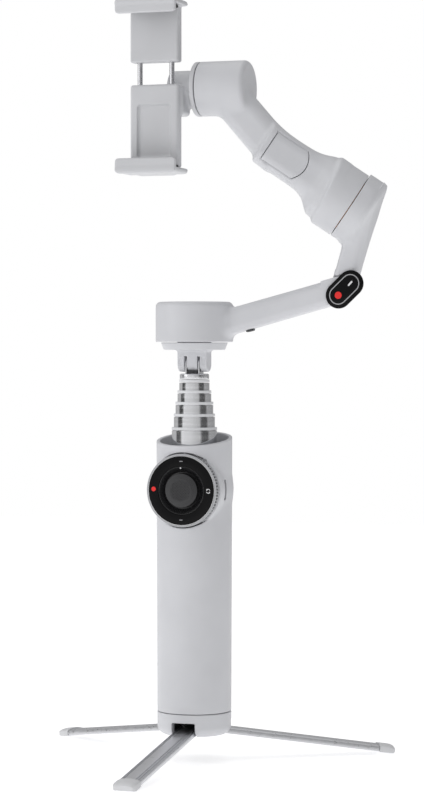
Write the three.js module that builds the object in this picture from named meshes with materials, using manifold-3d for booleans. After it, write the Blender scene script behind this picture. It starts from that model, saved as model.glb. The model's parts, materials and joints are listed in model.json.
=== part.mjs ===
// Three-axis phone gimbal with a telescopic rod, a folding arm and a tripod base.
// Units: millimetres. +Z is up, -Y faces the user, +X is the side that the arm is on.
// The origin is the centre of the flat underside of the leg hub.
import * as THREE from 'three';
import { mergeVertices } from 'three/addons/utils/BufferGeometryUtils.js';
import Module from 'manifold-3d';

const wasm = await Module();
wasm.setup();

// ---- driving dimensions ----
const GAP = 0.3; // clearance between neighbouring pieces
const GRIP_R = 18.1; // grip, outer radius
const GRIP_LEN = 141.6; // grip, underside to the rim's mean height
const RIM_SLANT = 3.0; // rise of the rim from its mean, front to back
const WALL = 1.7; // grip shell wall
const CAP_H = 11.0; // base cap height below the parting line
const LEG_LEN = 98.8; // leg reach from the grip axis
const LEG_W = 10.5; // leg width
const LEG_T = 2.5; // leg thickness at its sides
const LEG_CROWN = 0.7; // extra height along the leg's middle
const LEG_SLOPE = 8.3; // droop of the deployed legs, degrees
const LEG_PIVOT_R = 5.0; // leg pin distance from the axis
const LEG_PIVOT_Z = 2.9; // leg pin height
const POD_Z = GRIP_LEN - 24.0; // control pod centre height
const WHEEL_R = 17.5; // knurled wheel, outer radius
const POD_PROUD = 1.8; // front of the black ring beyond the grip's radius
const TUBE_R = [7.25, 8.1, 9.05, 9.85, 10.85]; // rod tubes, thinnest first
const TUBE_TOP = [28.4, 23.2, 17.7, 12.0, 5.5].map((h) => GRIP_LEN + h); // collar tops at rest
const TUBE_LEN = 54.0; // each tube with its collar
const TUBE_WALL = 0.5;
const COLLAR_H = 1.3;
const FERRULE_H = 2.8; // ferrule above the thinnest tube's collar
const NECK_W = 15.0; // neck block width
const NECK_R = 3.8; // neck block half depth and lower radius
const NECK_Z = TUBE_TOP[0] + FERRULE_H + 0.9 + NECK_R; // neck pin height
const PAN_R = 18.6; // pan motor housing radius
const PAN_BOTTOM = NECK_Z + 10.4; // pan motor housing underside
const PAN_H = 19.4; // pan motor housing height
const ARM_W = 12.3; // pan arm height across its axis
const ARM_D = 11.6; // pan arm depth
const FOLD = [PAN_R + 55.2, PAN_BOTTOM + 25.1]; // fold pivot between the arms, X and Z
const FOLD_RANGE = 164; // how far the upper arm folds down, degrees
const FOLD_KNUCKLE = 5.9; // knuckle radius about the fold pivot
const PAN_ARM_RISE = 15.1; // slope of the pan arm, degrees
const BADGE_A = [FOLD[0] - 0.1, FOLD[1] - 3.1]; // lower end of the fold badge
const BADGE_B = [FOLD[0] + 6.0, FOLD[1] + 2.5]; // upper end of the fold badge
const UPPER_W = 11.6; // upper arm width
const ROLL_C = [FOLD[0] + 3.5, 0, FOLD[1] + 39.3]; // centre of the roll motor's parting plane
const ROLL_AXIS = [-0.789, -0.267, 0.553]; // towards the phone's centre
const ROLL_R = 16.6; // roll motor radius
const ROLL_STATOR = 8.6; // roll stator housing depth
const ROLL_ROTOR = 12.6; // roll rotor band length
const ARM_LEAN = 2.1; // the roll arm's middle above the roll axis
const COVER_END = 37.0; // centre of the arm cover's rounded end, along the roll axis
const ARM_STRAIGHT = 50.0; // straight length of the roll arm from the parting plane
const TILT_Y = -9.5; // tilt axis
const TILT_Z = ROLL_C[2] + 56.1;
const ROLL_ARM_END = [22.0, TILT_Y, TILT_Z - 5.4]; // where the roll arm meets the tilt motor
const TILT_R = 13.0; // tilt motor radius
const TILT_X0 = 7.0; // tilt motor housing, clamp end
const TILT_X1 = 31.0; // tilt motor housing, far end
const CLAMP_X = -11.8; // clamp centre
const CLAMP_W = 30.5; // jaw length
const PHONE_Y = -31.0; // middle plane of the held phone
const PHONE_GAP = 74.0; // jaw opening at rest
const JAW_CLOSE = 10.0; // how far the upper jaw can close from rest

const LEG_ANGLES = { front: -90, right: 30, left: 150 };

// ---- helpers ----
function solid(geometry) {
  const g = geometry.clone();
  g.deleteAttribute('normal');
  g.deleteAttribute('uv');
  const m = mergeVertices(g, 1e-5);
  return new wasm.Manifold(new wasm.Mesh({
    numProp: 3,
    vertProperties: new Float32Array(m.attributes.position.array),
    triVerts: new Uint32Array(m.index.array),
  }));
}

function toGeometry(manifold) {
  const mesh = manifold.getMesh();
  const g = new THREE.BufferGeometry();
  g.setAttribute('position', new THREE.BufferAttribute(mesh.vertProperties, 3));
  g.setIndex(new THREE.BufferAttribute(mesh.triVerts, 1));
  return g;
}

function placed(manifold, matrix) {
  return manifold.transform(matrix.elements);
}

function move(manifold, x, y, z) {
  return placed(manifold, new THREE.Matrix4().makeTranslation(x, y, z));
}

function turn(manifold, axis, degrees) {
  const v = new THREE.Vector3(...axis).normalize();
  return placed(manifold, new THREE.Matrix4().makeRotationAxis(v, THREE.MathUtils.degToRad(degrees)));
}

function union(list) {
  return list.reduce((a, b) => a.add(b));
}

function cut(body, list) {
  return list.reduce((a, b) => a.subtract(b), body);
}

// a cylinder or cone along +Z from z0 to z1
function cyl(r0, r1, z0, z1, seg = 20) {
  const g = new THREE.CylinderGeometry(r1, r0, z1 - z0, seg);
  g.rotateX(Math.PI / 2);
  g.translate(0, 0, (z0 + z1) / 2);
  return solid(g);
}

function box(x0, x1, y0, y1, z0, z1) {
  const g = new THREE.BoxGeometry(x1 - x0, y1 - y0, z1 - z0);
  g.translate((x0 + x1) / 2, (y0 + y1) / 2, (z0 + z1) / 2);
  return solid(g);
}

// a body of revolution about +Z; points are [radius, z], listed around the section
function lathe(points, seg = 30) {
  const loop = points.map((p) => new THREE.Vector2(p[0], p[1]));
  if (points[0][0] > 0) loop.push(loop[0].clone());
  const upright = (line) => {
    const g = new THREE.LatheGeometry(line, seg);
    g.rotateX(Math.PI / 2);
    return solid(g);
  };
  const s = upright(loop);
  return s.volume() > 0 ? s : upright([...loop].reverse());
}

// an outline in its own plane, raised from 0 to depth along +Z
function extrude(points, depth) {
  const shape = new THREE.Shape(points.map((p) => new THREE.Vector2(p[0], p[1])));
  return solid(new THREE.ExtrudeGeometry(shape, { depth, bevelEnabled: false, steps: 1 }));
}

// points of a rectangle with rounded corners, centred at the origin
function roundRect(w, h, r, seg = 3) {
  const out = [];
  const corners = [[1, 1, 0], [-1, 1, 90], [-1, -1, 180], [1, -1, 270]];
  for (const [sx, sy, start] of corners) {
    for (let i = 0; i <= seg; i += 1) {
      const a = THREE.MathUtils.degToRad(start + (90 * i) / seg);
      out.push([sx * (w / 2 - r) + r * Math.cos(a), sy * (h / 2 - r) + r * Math.sin(a)]);
    }
  }
  return out;
}

// frame with +Z along dir and +X as near as can be to the given side direction
function frameAlong(origin, dir, side) {
  const z = new THREE.Vector3(...dir).normalize();
  const x = new THREE.Vector3(...side);
  x.addScaledVector(z, -x.dot(z)).normalize();
  const y = new THREE.Vector3().crossVectors(z, x);
  const m = new THREE.Matrix4().makeBasis(x, y, z);
  m.setPosition(new THREE.Vector3(...origin));
  return m;
}

// the body between two outlines of equal point count, at heights z0 and z1
function loft(sections) {
  const n = sections[0].points.length;
  const pos = [];
  for (const s of sections) {
    for (const p of s.points) pos.push(p[0], p[1], s.z);
  }
  const index = [];
  for (let k = 0; k + 1 < sections.length; k += 1) {
    for (let i = 0; i < n; i += 1) {
      const j = (i + 1) % n;
      const a = k * n + i;
      const b = k * n + j;
      index.push(a, b, b + n, a, b + n, a + n);
    }
  }
  const flat = sections[0].points.map((p) => new THREE.Vector2(p[0], p[1]));
  const caps = THREE.ShapeUtils.triangulateShape(flat, []);
  const top = (sections.length - 1) * n;
  for (const [a, b, c] of caps) {
    index.push(a, c, b);
    index.push(top + a, top + b, top + c);
  }
  return new wasm.Manifold(new wasm.Mesh({
    numProp: 3,
    vertProperties: new Float32Array(pos),
    triVerts: new Uint32Array(index),
  }));
}

const looks = {
  grey: [0xc8c9ce, 0.45, 0.0],
  collar: [0xd5d6da, 0.4, 0.0],
  metal: [0xc9cace, 0.2, 1.0],
  aluminium: [0xb9bbc0, 0.35, 1.0],
  foot: [0xcfd0d3, 0.5, 0.0],
  black: [0x0c0c0e, 0.2, 0.0],
  dark: [0x2a2b2e, 0.55, 0.0],
  rubber: [0x1a1a1c, 0.85, 0.0],
  red: [0xe01010, 0.4, 0.0],
  board: [0x1f4a33, 0.6, 0.0],
  cell: [0x3b6ea5, 0.5, 0.0],
  copper: [0xb87333, 0.4, 1.0],
  magnet: [0x55575b, 0.4, 1.0],
};

const group = new THREE.Group();

function add(name, manifold, look, matrix = null) {
  const [color, roughness, metalness] = looks[look];
  const material = new THREE.MeshStandardMaterial({ color, roughness, metalness });
  const mesh = new THREE.Mesh(toGeometry(manifold), material);
  mesh.name = name;
  if (matrix) {
    mesh.applyMatrix4(matrix);
  }
  group.add(mesh);
  return mesh;
}

// ---- frames ----
// pod frame: +Z points to the user, its front face at 18.1 + POD_PROUD
const POD = frameAlong([0, 18.1 - GRIP_R, POD_Z], [0, -1, 0], [1, 0, 0]);
// roll frame: +Z along the roll axis, +Y up across it
const ROLL = frameAlong(ROLL_C, ROLL_AXIS, [0.947, 0.32, 0]);
// frame in the XZ plane: local x = X, local y = Z, local +Z = towards the user
const SIDE = frameAlong([0, 0, 0], [0, -1, 0], [1, 0, 0]);

// ---- grip ----
const inner = GRIP_R - WALL;
const podBore = WHEEL_R - 0.9;
const rimTop = GRIP_LEN + RIM_SLANT;
const slant = THREE.MathUtils.radToDeg(Math.atan(RIM_SLANT / GRIP_R));

function rimCutter() {
  const b = box(-40, 40, -40, 40, 0, 28);
  return move(turn(b, [1, 0, 0], slant), 0, 0, GRIP_LEN);
}

{
  const boss = placed(cyl(WHEEL_R + 0.7, WHEEL_R + 0.7, 0, 14.2, 30), POD);
  const outer = cyl(GRIP_R - 0.3, GRIP_R + 0.1, CAP_H + GAP, rimTop + 1, 36);
  const cuts = [
    cyl(inner, inner, CAP_H, rimTop + 5, 36),
    rimCutter(),
    placed(cyl(podBore, podBore, 6, 30, 30), POD),
    placed(cyl(WHEEL_R + 0.4, WHEEL_R + 0.4, 14.2, 30, 30), POD),
    // rear trigger opening
    box(-7.3, 7.3, GRIP_R - 6, GRIP_R + 4, POD_Z - 15.7, POD_Z + 11.7),
    // slim side button opening
    turn(box(GRIP_R - 6, GRIP_R + 4, -0.95, 0.95, POD_Z - 4.8, POD_Z + 4.8), [0, 0, 1], -19.6),
    // charging socket opening, at the left
    box(-GRIP_R - 4, -GRIP_R + 6, -4.9, 4.9, 31.2, 34.8),
  ];
  add('grip_shell', cut(outer.add(boss), cuts), 'grey');
}

// base cap: rounded lower edge, three slots open at the bottom, spigot inside the shell
{
  const r = GRIP_R - 0.3;
  const e = 4.6;
  const profile = [[13.8, 0], [r - e, 0]];
  for (let i = 1; i <= 4; i += 1) {
    const a = (Math.PI / 8) * i;
    profile.push([r - e + e * Math.sin(a), e - e * Math.cos(a)]);
  }
  const spigot = inner - GAP;
  profile.push([r, CAP_H], [spigot, CAP_H], [spigot, CAP_H + 5], [13.8, CAP_H + 5]);
  const slots = Object.values(LEG_ANGLES).map((a) => turn(
    box(8, GRIP_R + 6, -(LEG_W / 2 + 0.45), LEG_W / 2 + 0.45, -5, 6.9),
    [0, 0, 1],
    a,
  ));
  add('base_cap', cut(lathe(profile, 36), slots), 'grey');
}

// leg hub: flat underside, three slots, pin bores
const PIN_LEN = LEG_W + 3.4;
{
  const body = lathe([[0, 0], [13.2, 0], [13.5, 0.3], [13.5, 9.4], [6, 9.4], [6, 15.2], [0, 15.2]], 30);
  const cuts = [];
  for (const a of Object.values(LEG_ANGLES)) {
    cuts.push(turn(box(2.35, 20, -(LEG_W / 2 + 0.4), LEG_W / 2 + 0.4, -5, 6.6), [0, 0, 1], a));
    const bore = move(turn(cyl(1.3, 1.3, -PIN_LEN / 2 - 0.3, PIN_LEN / 2 + 0.3, 14), [1, 0, 0], 90),
      LEG_PIVOT_R, 0, LEG_PIVOT_Z);
    cuts.push(turn(bore, [0, 0, 1], a));
  }
  add('leg_hub', cut(body, cuts), 'dark');
}

// legs: local x runs out along the leg from its pin, local z is across it
const legReach = (LEG_LEN - LEG_PIVOT_R) / Math.cos(THREE.MathUtils.degToRad(LEG_SLOPE));
const FOOT_LEN = 8.0;
const footStart = legReach - FOOT_LEN;
function legSection(w, t, crown, grooves) {
  const h = w / 2;
  const pts = [[-h, -t / 2], [h, -t / 2], [h, t / 2 - 0.35], [h - 0.35, t / 2]];
  if (grooves) {
    const g = h - 1.9;
    const rise = crown * 0.45;
    pts.push([g + 0.45, t / 2 + rise], [g + 0.35, t / 2 + rise - 0.45]);
    pts.push([g - 0.35, t / 2 + rise - 0.4], [g - 0.45, t / 2 + rise + 0.1]);
  }
  pts.push([h * 0.35, t / 2 + crown]);
  const mirrored = pts.slice(2).map((p) => [-p[0], p[1]]).reverse();
  return pts.concat(mirrored);
}
for (const [side, angle] of Object.entries(LEG_ANGLES)) {
  const place = new THREE.Matrix4().makeRotationZ(THREE.MathUtils.degToRad(angle));
  place.multiply(new THREE.Matrix4().makeTranslation(LEG_PIVOT_R, 0, LEG_PIVOT_Z));
  place.multiply(new THREE.Matrix4().makeRotationY(THREE.MathUtils.degToRad(LEG_SLOPE)));
  // extrusion runs along local z, so turn it to run along x with its crown up
  const lie = new THREE.Matrix4().set(0, 0, 1, 0, 1, 0, 0, 0, 0, 1, 0, 0, 0, 0, 0, 1);
  const bar = placed(extrude(legSection(LEG_W, LEG_T, LEG_CROWN, true), footStart - GAP - 3), lie);
  const eye = turn(cyl(2.3, 2.3, -LEG_W * 0.34, LEG_W * 0.34, 18), [1, 0, 0], 90);
  const bore = turn(cyl(1.3, 1.3, -LEG_W, LEG_W, 14), [1, 0, 0], 90);
  const plug = box(footStart - GAP - 0.5, footStart + 3.2, -3.4, 3.4, -0.55, 0.55);
  add(`leg_${side}`, cut(union([eye, move(bar, 3.0, 0, 0), box(0, 4, -LEG_W / 2, LEG_W / 2, -1.25, 1.25),
    plug]), [bore]), 'aluminium', place);
  const pin = turn(cyl(1.0, 1.0, -PIN_LEN / 2, PIN_LEN / 2, 14), [1, 0, 0], 90);
  add(`leg_pin_${side}`, pin, 'metal', place);
  const cap = placed(loft([
    { z: footStart, points: legSection(LEG_W + 0.8, LEG_T + 0.5, LEG_CROWN + 0.3, false) },
    { z: footStart + 5.6, points: legSection(LEG_W + 0.8, LEG_T + 0.5, LEG_CROWN + 0.3, false) },
    { z: footStart + 7.4, points: legSection(LEG_W - 0.2, LEG_T + 0.1, LEG_CROWN, false) },
    { z: legReach, points: legSection(LEG_W - 2.6, LEG_T - 0.9, LEG_CROWN - 0.3, false) },
  ]), lie);
  const pocket = box(footStart - 1, footStart + 3.5, -3.7, 3.7, -0.85, 0.85);
  add(`leg_foot_${side}`, cut(cap, [pocket]), 'foot', place);
}

// chassis: rod guide with its floor, ribs and the ledge under the rim
const GUIDE_TOP = GRIP_LEN - 22.3;
const GUIDE_FLOOR = 60.0;
const GUIDE_R = TUBE_R[4] + 0.35;
{
  const fit = inner - 0.5;
  const floorTop = GUIDE_FLOOR + 2.6;
  const guide = lathe([[0, GUIDE_FLOOR], [fit, GUIDE_FLOOR], [fit, floorTop], [GUIDE_R + 1.2, floorTop],
    [GUIDE_R + 1.2, GUIDE_TOP], [GUIDE_R, GUIDE_TOP], [GUIDE_R, floorTop], [0, floorTop]], 30);
  const ledgeTop = GRIP_LEN - 4.0;
  const ledge = lathe([[12.6, ledgeTop - 1.6], [fit, ledgeTop - 1.6], [fit, ledgeTop], [12.6, ledgeTop]], 30);
  const ribs = [];
  for (const a of [40, 140]) {
    ribs.push(turn(box(12.0, fit - 0.3, -1.0, 1.0, GUIDE_TOP - 12, ledgeTop - 1.0), [0, 0, 1], a));
  }
  add('chassis', union([guide, ledge, ...ribs]), 'dark');
}

add('battery', lathe([[0, 17.0], [9.2, 17.0], [9.2, 57.0], [0, 57.0]], 28), 'cell');
add('main_board', box(-8.0, 8.0, -14.0, -12.7, GUIDE_FLOOR + 4.0, POD_Z - 23.6), 'board');
{
  const inward = (x) => frameAlong([x, 0, 33], [1, 0, 0], [0, 1, 0]);
  const shell = placed(extrude(roundRect(9.0, 3.0, 1.4, 4), 6.5), inward(0.7 - GRIP_R));
  const mouth = placed(extrude(roundRect(8.0, 2.0, 0.9, 4), 5.0), inward(0.1 - GRIP_R));
  add('charge_socket', cut(shell, [mouth]), 'metal');
}

// ---- control pod, in the pod frame ----
const podFront = 18.1 + POD_PROUD;
const baseR = WHEEL_R - 1.3;
add('pod_base', lathe([[0, 12.6], [baseR, 12.6], [baseR, 14.1], [baseR - 0.6, 14.1], [baseR - 0.6, 16.2],
  [10.9, 16.2], [10.9, 13.6], [0, 13.6]], 28), 'dark', POD);
add('wheel', lathe([[WHEEL_R - 1, 14.6], [WHEEL_R, 14.6], [WHEEL_R, 18.5], [WHEEL_R - 0.5, 19.3],
  [WHEEL_R - 1, 19.3]], 48), 'grey', POD);
const ringR = WHEEL_R - 1 - 0.35;
add('ring_button', lathe([[11.5, 17.4], [ringR, 17.4], [ringR, podFront - 0.6], [ringR - 0.55, podFront],
  [12.0, podFront], [11.5, podFront - 0.4]], 28), 'black', POD);
add('dish', lathe([[4.3, 16.5], [11.2, 16.5], [11.2, 19.0], [10.6, 19.0], [9.6, 17.1], [4.3, 17.1]], 30),
  'black', POD);
{
  const yoke = lathe([[2.75, 14.6], [3.6, 14.6], [3.6, 15.5], [2.75, 15.5]], 18);
  add('stick_yoke', yoke, 'metal', POD);
}
add('joystick', lathe([[0, 14.5], [1.4, 14.5], [2.3, 15.2], [2.3, 18.6], [7.0, 18.9], [7.9, 19.3], [7.9, 19.8],
  [6.9, 20.0], [6.4, 20.7], [5.6, 21.2], [0, 21.4]], 28), 'rubber', POD);

// rear trigger and its pin, and the slim side button
{
  const rear = frameAlong([0, GRIP_R - 2.5, POD_Z - 2], [0, 1, 0], [-1, 0, 0]);
  const t = placed(extrude(roundRect(14.0, 26.0, 5.0, 5), 3.6), rear);
  const pinY = GRIP_R - 3.4;
  const lug = box(-5.0, 5.0, pinY - 1.4, pinY + 1.7, POD_Z + 6.6, POD_Z + 10.4);
  const bore = move(turn(cyl(1.1, 1.1, -8, 8, 14), [0, 1, 0], 90), 0, pinY, POD_Z + 8.6);
  add('trigger', cut(t.add(lug), [bore]), 'grey');
  add('trigger_pin', move(turn(cyl(0.8, 0.8, -6.0, 6.0, 14), [0, 1, 0], 90), 0, pinY, POD_Z + 8.6), 'metal');
  const b = box(GRIP_R - 3.3, GRIP_R - 0.2, -0.6, 0.6, POD_Z - 4.4, POD_Z + 4.4);
  const flange = box(GRIP_R - 3.9, GRIP_R - 2.9, -1.6, 1.6, POD_Z - 5.4, POD_Z + 5.4);
  add('power_button', turn(b.add(flange), [0, 0, 1], -19.6), 'dark');
}

// ---- telescopic rod ----
const LETTERS = ['a', 'b', 'c', 'd', 'e'];
for (let i = 4; i >= 0; i -= 1) {
  const r = TUBE_R[i];
  const top = TUBE_TOP[i];
  const innerR = r - TUBE_WALL;
  add(`tube_${LETTERS[i]}`, lathe([[innerR, top - TUBE_LEN], [r, top - TUBE_LEN], [r, top - COLLAR_H - GAP],
    [innerR, top - COLLAR_H - GAP]], 28), 'metal');
  add(`collar_${LETTERS[i]}`, lathe([[innerR, top - COLLAR_H], [r + 0.02, top - COLLAR_H],
    [r + 0.02, top], [innerR, top]], 28), 'collar');
}
// ferrule with two thin blades that carry the neck pin
const BLADE_X0 = 2.85;
const BLADE_X1 = 3.65;
{
  const foot = TUBE_TOP[0] + GAP;
  const top = TUBE_TOP[0] + FERRULE_H;
  const ferrule = lathe([[0, foot], [7.05, foot], [7.05, top - 0.4], [6.6, top], [0, top]], 28);
  const blades = [];
  const bladeR = NECK_R - 0.7;
  for (const s of [1, -1]) {
    const x0 = s > 0 ? BLADE_X0 : -BLADE_X1;
    const x1 = s > 0 ? BLADE_X1 : -BLADE_X0;
    const tip = move(turn(cyl(bladeR, bladeR, x0, x1, 28), [0, 1, 0], 90), 0, 0, NECK_Z);
    blades.push(union([tip, box(x0, x1, -bladeR, bladeR, top - 0.8, NECK_Z)]));
  }
  const bore = move(turn(cyl(1.3, 1.3, -6, 6, 14), [0, 1, 0], 90), 0, 0, NECK_Z);
  add('neck_fork', cut(union([ferrule, ...blades]), [bore]), 'metal');
  add('neck_pin', move(turn(cyl(1.0, 1.0, -6.6, 6.6, 14), [0, 1, 0], 90), 0, 0, NECK_Z), 'metal');
}

// ---- pan base: slotted neck block, flange, bearing plate and spindle ----
{
  const w = NECK_W / 2;
  const drum = move(turn(cyl(NECK_R, NECK_R, -w, w, 28), [0, 1, 0], 90), 0, 0, NECK_Z);
  const block = box(-w, w, -NECK_R, NECK_R, NECK_Z, PAN_BOTTOM - 3.1);
  const zb = PAN_BOTTOM;
  const plate = PAN_R - 2.0;
  const flange = lathe([[0, zb - 3.5], [plate - 1.8, zb - 3.5], [plate - 0.6, zb - GAP], [6.0, zb - GAP],
    [6.0, zb + 0.4], [plate, zb + 0.4], [plate, zb + 1.5], [5.0, zb + 1.5], [5.0, zb + 14.9], [2.6, zb + 14.9],
    [2.6, zb - 1.4], [0, zb - 1.4]], 30);
  const slotTop = NECK_Z + 3.95;
  const slots = [
    box(BLADE_X0 - GAP, BLADE_X1 + GAP, -12, 12, NECK_Z - 19, slotTop),
    box(-BLADE_X1 - GAP, -BLADE_X0 + GAP, -12, 12, NECK_Z - 19, slotTop),
    move(turn(cyl(1.3, 1.3, -6.9, 6.9, 14), [0, 1, 0], 90), 0, 0, NECK_Z),
  ];
  add('pan_base', cut(union([drum, block, flange]), slots), 'grey');
  const core = PAN_R - 5.8;
  add('pan_stator', lathe([[5.3, zb + 2.7], [core - 0.4, zb + 2.7], [core, zb + 3.5], [core, zb + 12.7],
    [core - 0.4, zb + 13.5], [5.3, zb + 13.5]], 28), 'copper');
}

// ---- pan housing with its arm ----
const rad = THREE.MathUtils.degToRad;
const upperDir = 74;
const arrow = (degrees) => [Math.cos(rad(degrees)), 0, Math.sin(rad(degrees))];
// a disc about the fold pivot, from z0 to z1 towards the user
function foldDisc(r, z0, z1, seg = 24) {
  return placed(move(cyl(r, r, z0, z1, seg), FOLD[0], FOLD[1], 0), SIDE);
}
// a web from the fold pivot out along an arm
function foldWeb(toward, width, z0, z1) {
  const along = frameAlong([FOLD[0], 0, FOLD[1]], [0, -1, 0], arrow(toward));
  return placed(box(0, 8.2, -width / 2, width / 2, z0, z1), along);
}
const EAR_IN = 2.3; // inner face of the pan arm's two ears
const TONGUE = 2.0; // half thickness of the upper arm's tongue
const sweep = FOLD_KNUCKLE + GAP;
{
  const zb = PAN_BOTTOM;
  const zt = PAN_BOTTOM + PAN_H;
  const bore = PAN_R - 1.5;
  const cup = lathe([[bore, zb], [PAN_R - 0.6, zb], [PAN_R, zb + 0.6], [PAN_R, zt - 2.4],
    [PAN_R - 0.75, zt - 0.75], [PAN_R - 2.4, zt], [0, zt], [0, zt - 3.6], [bore, zt - 3.6]], 36);
  const shaft = cyl(2.2, 2.2, zb + 2.1, zt - 3.0, 18);
  const back = arrow(180 + PAN_ARM_RISE);
  const len = Math.hypot(FOLD[0] - PAN_R + 10.6, FOLD[1] - PAN_BOTTOM - 9.0);
  const arm = frameAlong([FOLD[0], 0, FOLD[1]], back, [0, 1, 0]);
  const round = roundRect(ARM_D, ARM_W, 3.6);
  const bar = placed(loft([
    { z: 3.5, points: round },
    { z: len - 14, points: round },
    { z: len, points: roundRect(ARM_D + 1.6, ARM_W + 0.6, 3.6) },
  ]), arm);
  const half = ARM_D / 2;
  const ears = [];
  for (const [z0, z1] of [[EAR_IN, half], [-half, -EAR_IN]]) {
    ears.push(foldDisc(FOLD_KNUCKLE, z0, z1), foldWeb(180 + PAN_ARM_RISE, 2 * FOLD_KNUCKLE, z0, z1));
  }
  const keepOut = [
    cyl(bore, bore, zb - 1, zt - 3.6, 36),
    foldDisc(2.0, -20, 20, 18),
  ];
  const plug = cyl(PAN_R - 0.02, PAN_R - 0.02, zb + 1, zt - 3, 36);
  const armOnly = cut(bar, [foldDisc(sweep, -half - 1, half + 1)]);
  const rest = cut(union([plug, armOnly, ...ears]), keepOut);
  add('pan_arm', union([rest, cup, shaft]), 'grey');
  add('pan_magnets', lathe([[bore - 3.8, zb + 2.3], [bore - GAP, zb + 2.3], [bore - GAP, zb + 14.1],
    [bore - 3.8, zb + 14.1]], 28), 'magnet');
  const lean = rad(PAN_ARM_RISE);
  const from = 49.0;
  const drop = ARM_W / 2 + GAP;
  const under = frameAlong([FOLD[0] - from * Math.cos(lean) + drop * Math.sin(lean), 0,
    FOLD[1] - from * Math.sin(lean) - drop * Math.cos(lean)],
  [Math.sin(lean), 0, -Math.cos(lean)], [Math.cos(lean), 0, Math.sin(lean)]);
  add('arm_bump', placed(extrude(roundRect(3.8, 5.2, 1.6, 4), 1.0), under), 'dark');
}

// ---- fold badge, rear cap and pin ----
const badgeDir = [BADGE_B[0] - BADGE_A[0], 0, BADGE_B[1] - BADGE_A[1]];
const badgeLen = Math.hypot(badgeDir[0], badgeDir[2]);
function capsule(r, seg = 12) {
  const pts = [];
  for (let i = 0; i <= seg; i += 1) {
    const a = -Math.PI / 2 + (Math.PI * i) / seg;
    pts.push([badgeLen + r * Math.cos(a), r * Math.sin(a)]);
  }
  for (let i = 0; i <= seg; i += 1) {
    const a = Math.PI / 2 + (Math.PI * i) / seg;
    pts.push([r * Math.cos(a), r * Math.sin(a)]);
  }
  return pts;
}
{
  const place = frameAlong([BADGE_A[0], 0, BADGE_A[1]], [0, -1, 0], badgeDir);
  const front = loft([
    { z: 6.1, points: capsule(6.25) },
    { z: 7.0, points: capsule(6.25) },
    { z: 7.5, points: capsule(5.75) },
  ]);
  add('fold_badge', cut(front, [cyl(2.0, 2.0, 6.0, 8.0, 18)]), 'black', place);
  add('badge_dot', cyl(1.7, 1.7, 6.2, 7.4, 18), 'red', place);
  add('fold_cap', foldDisc(4.6, -6.8, -6.1), 'dark');
  add('fold_pin', foldDisc(1.7, -5.6, 5.6, 18), 'metal');
}

// ---- upper arm with the roll motor's stator housing ----
const rollBore = ROLL_R - 2.0;
{
  const arm = frameAlong([FOLD[0], 0, FOLD[1]], arrow(upperDir), [0, 1, 0]);
  const bar = placed(loft([
    { z: 0, points: roundRect(ARM_D, UPPER_W, 3.6) },
    { z: 14.0, points: roundRect(ARM_D, UPPER_W, 3.6) },
    { z: 24.0, points: roundRect(ARM_D + 1.4, UPPER_W, 3.6) },
    { z: 39.0, points: roundRect(ARM_D + 8.0, UPPER_W, 4.5) },
  ]), arm);
  const tongue = [
    foldDisc(FOLD_KNUCKLE, -TONGUE, TONGUE),
    foldWeb(upperDir, UPPER_W - 0.4, -TONGUE, TONGUE),
  ];
  // everything outside the knuckle stops just above the pan arm
  const pivot = [FOLD[0], 0, FOLD[1]];
  const armTop = ARM_W / 2 + 0.5;
  // what the pan arm fills, seen from the upper arm: open, then folded
  const panFills = (start) => [
    placed(box(-40, -start, -40, armTop, -30, 30), frameAlong(pivot, [0, -1, 0], arrow(PAN_ARM_RISE))),
    placed(box(start, 40, -40, armTop, -30, 30), frameAlong(pivot, [0, -1, 0], arrow(PAN_ARM_RISE + FOLD_RANGE - 180))),
  ];
  const clearEars = foldDisc(sweep, -ARM_D, ARM_D);
  const clearPin = foldDisc(2.0, -20, 20, 18);
  const webs = cut(tongue[1], panFills(3.1));
  const armOnly = cut(bar, [...panFills(0), clearEars]);
  const housing = placed(lathe([[0, -ROLL_STATOR], [ROLL_R - 2.6, -ROLL_STATOR],
    [ROLL_R - 0.8, -ROLL_STATOR + 0.8],
    [ROLL_R, -ROLL_STATOR + 2.6], [ROLL_R, -0.15], [0, -0.15]], 28), ROLL);
  const inside = placed(cyl(rollBore, rollBore, -6.4, 30, 30), ROLL);
  const clearFront = placed(cyl(60, 60, -0.15, 60, 18), ROLL);
  const shaft = placed(cyl(2.2, 2.2, -7.0, 8.6, 18), ROLL);
  const body = cut(union([housing, armOnly, tongue[0], webs]), [clearPin, inside, clearFront]);
  add('upper_arm', body.add(shaft), 'grey');
  const core = rollBore - 2.0;
  add('roll_stator', lathe([[2.5, -6.1], [core, -6.1], [core, 3.4], [2.5, 3.4]], 28), 'copper', ROLL);
}

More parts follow.
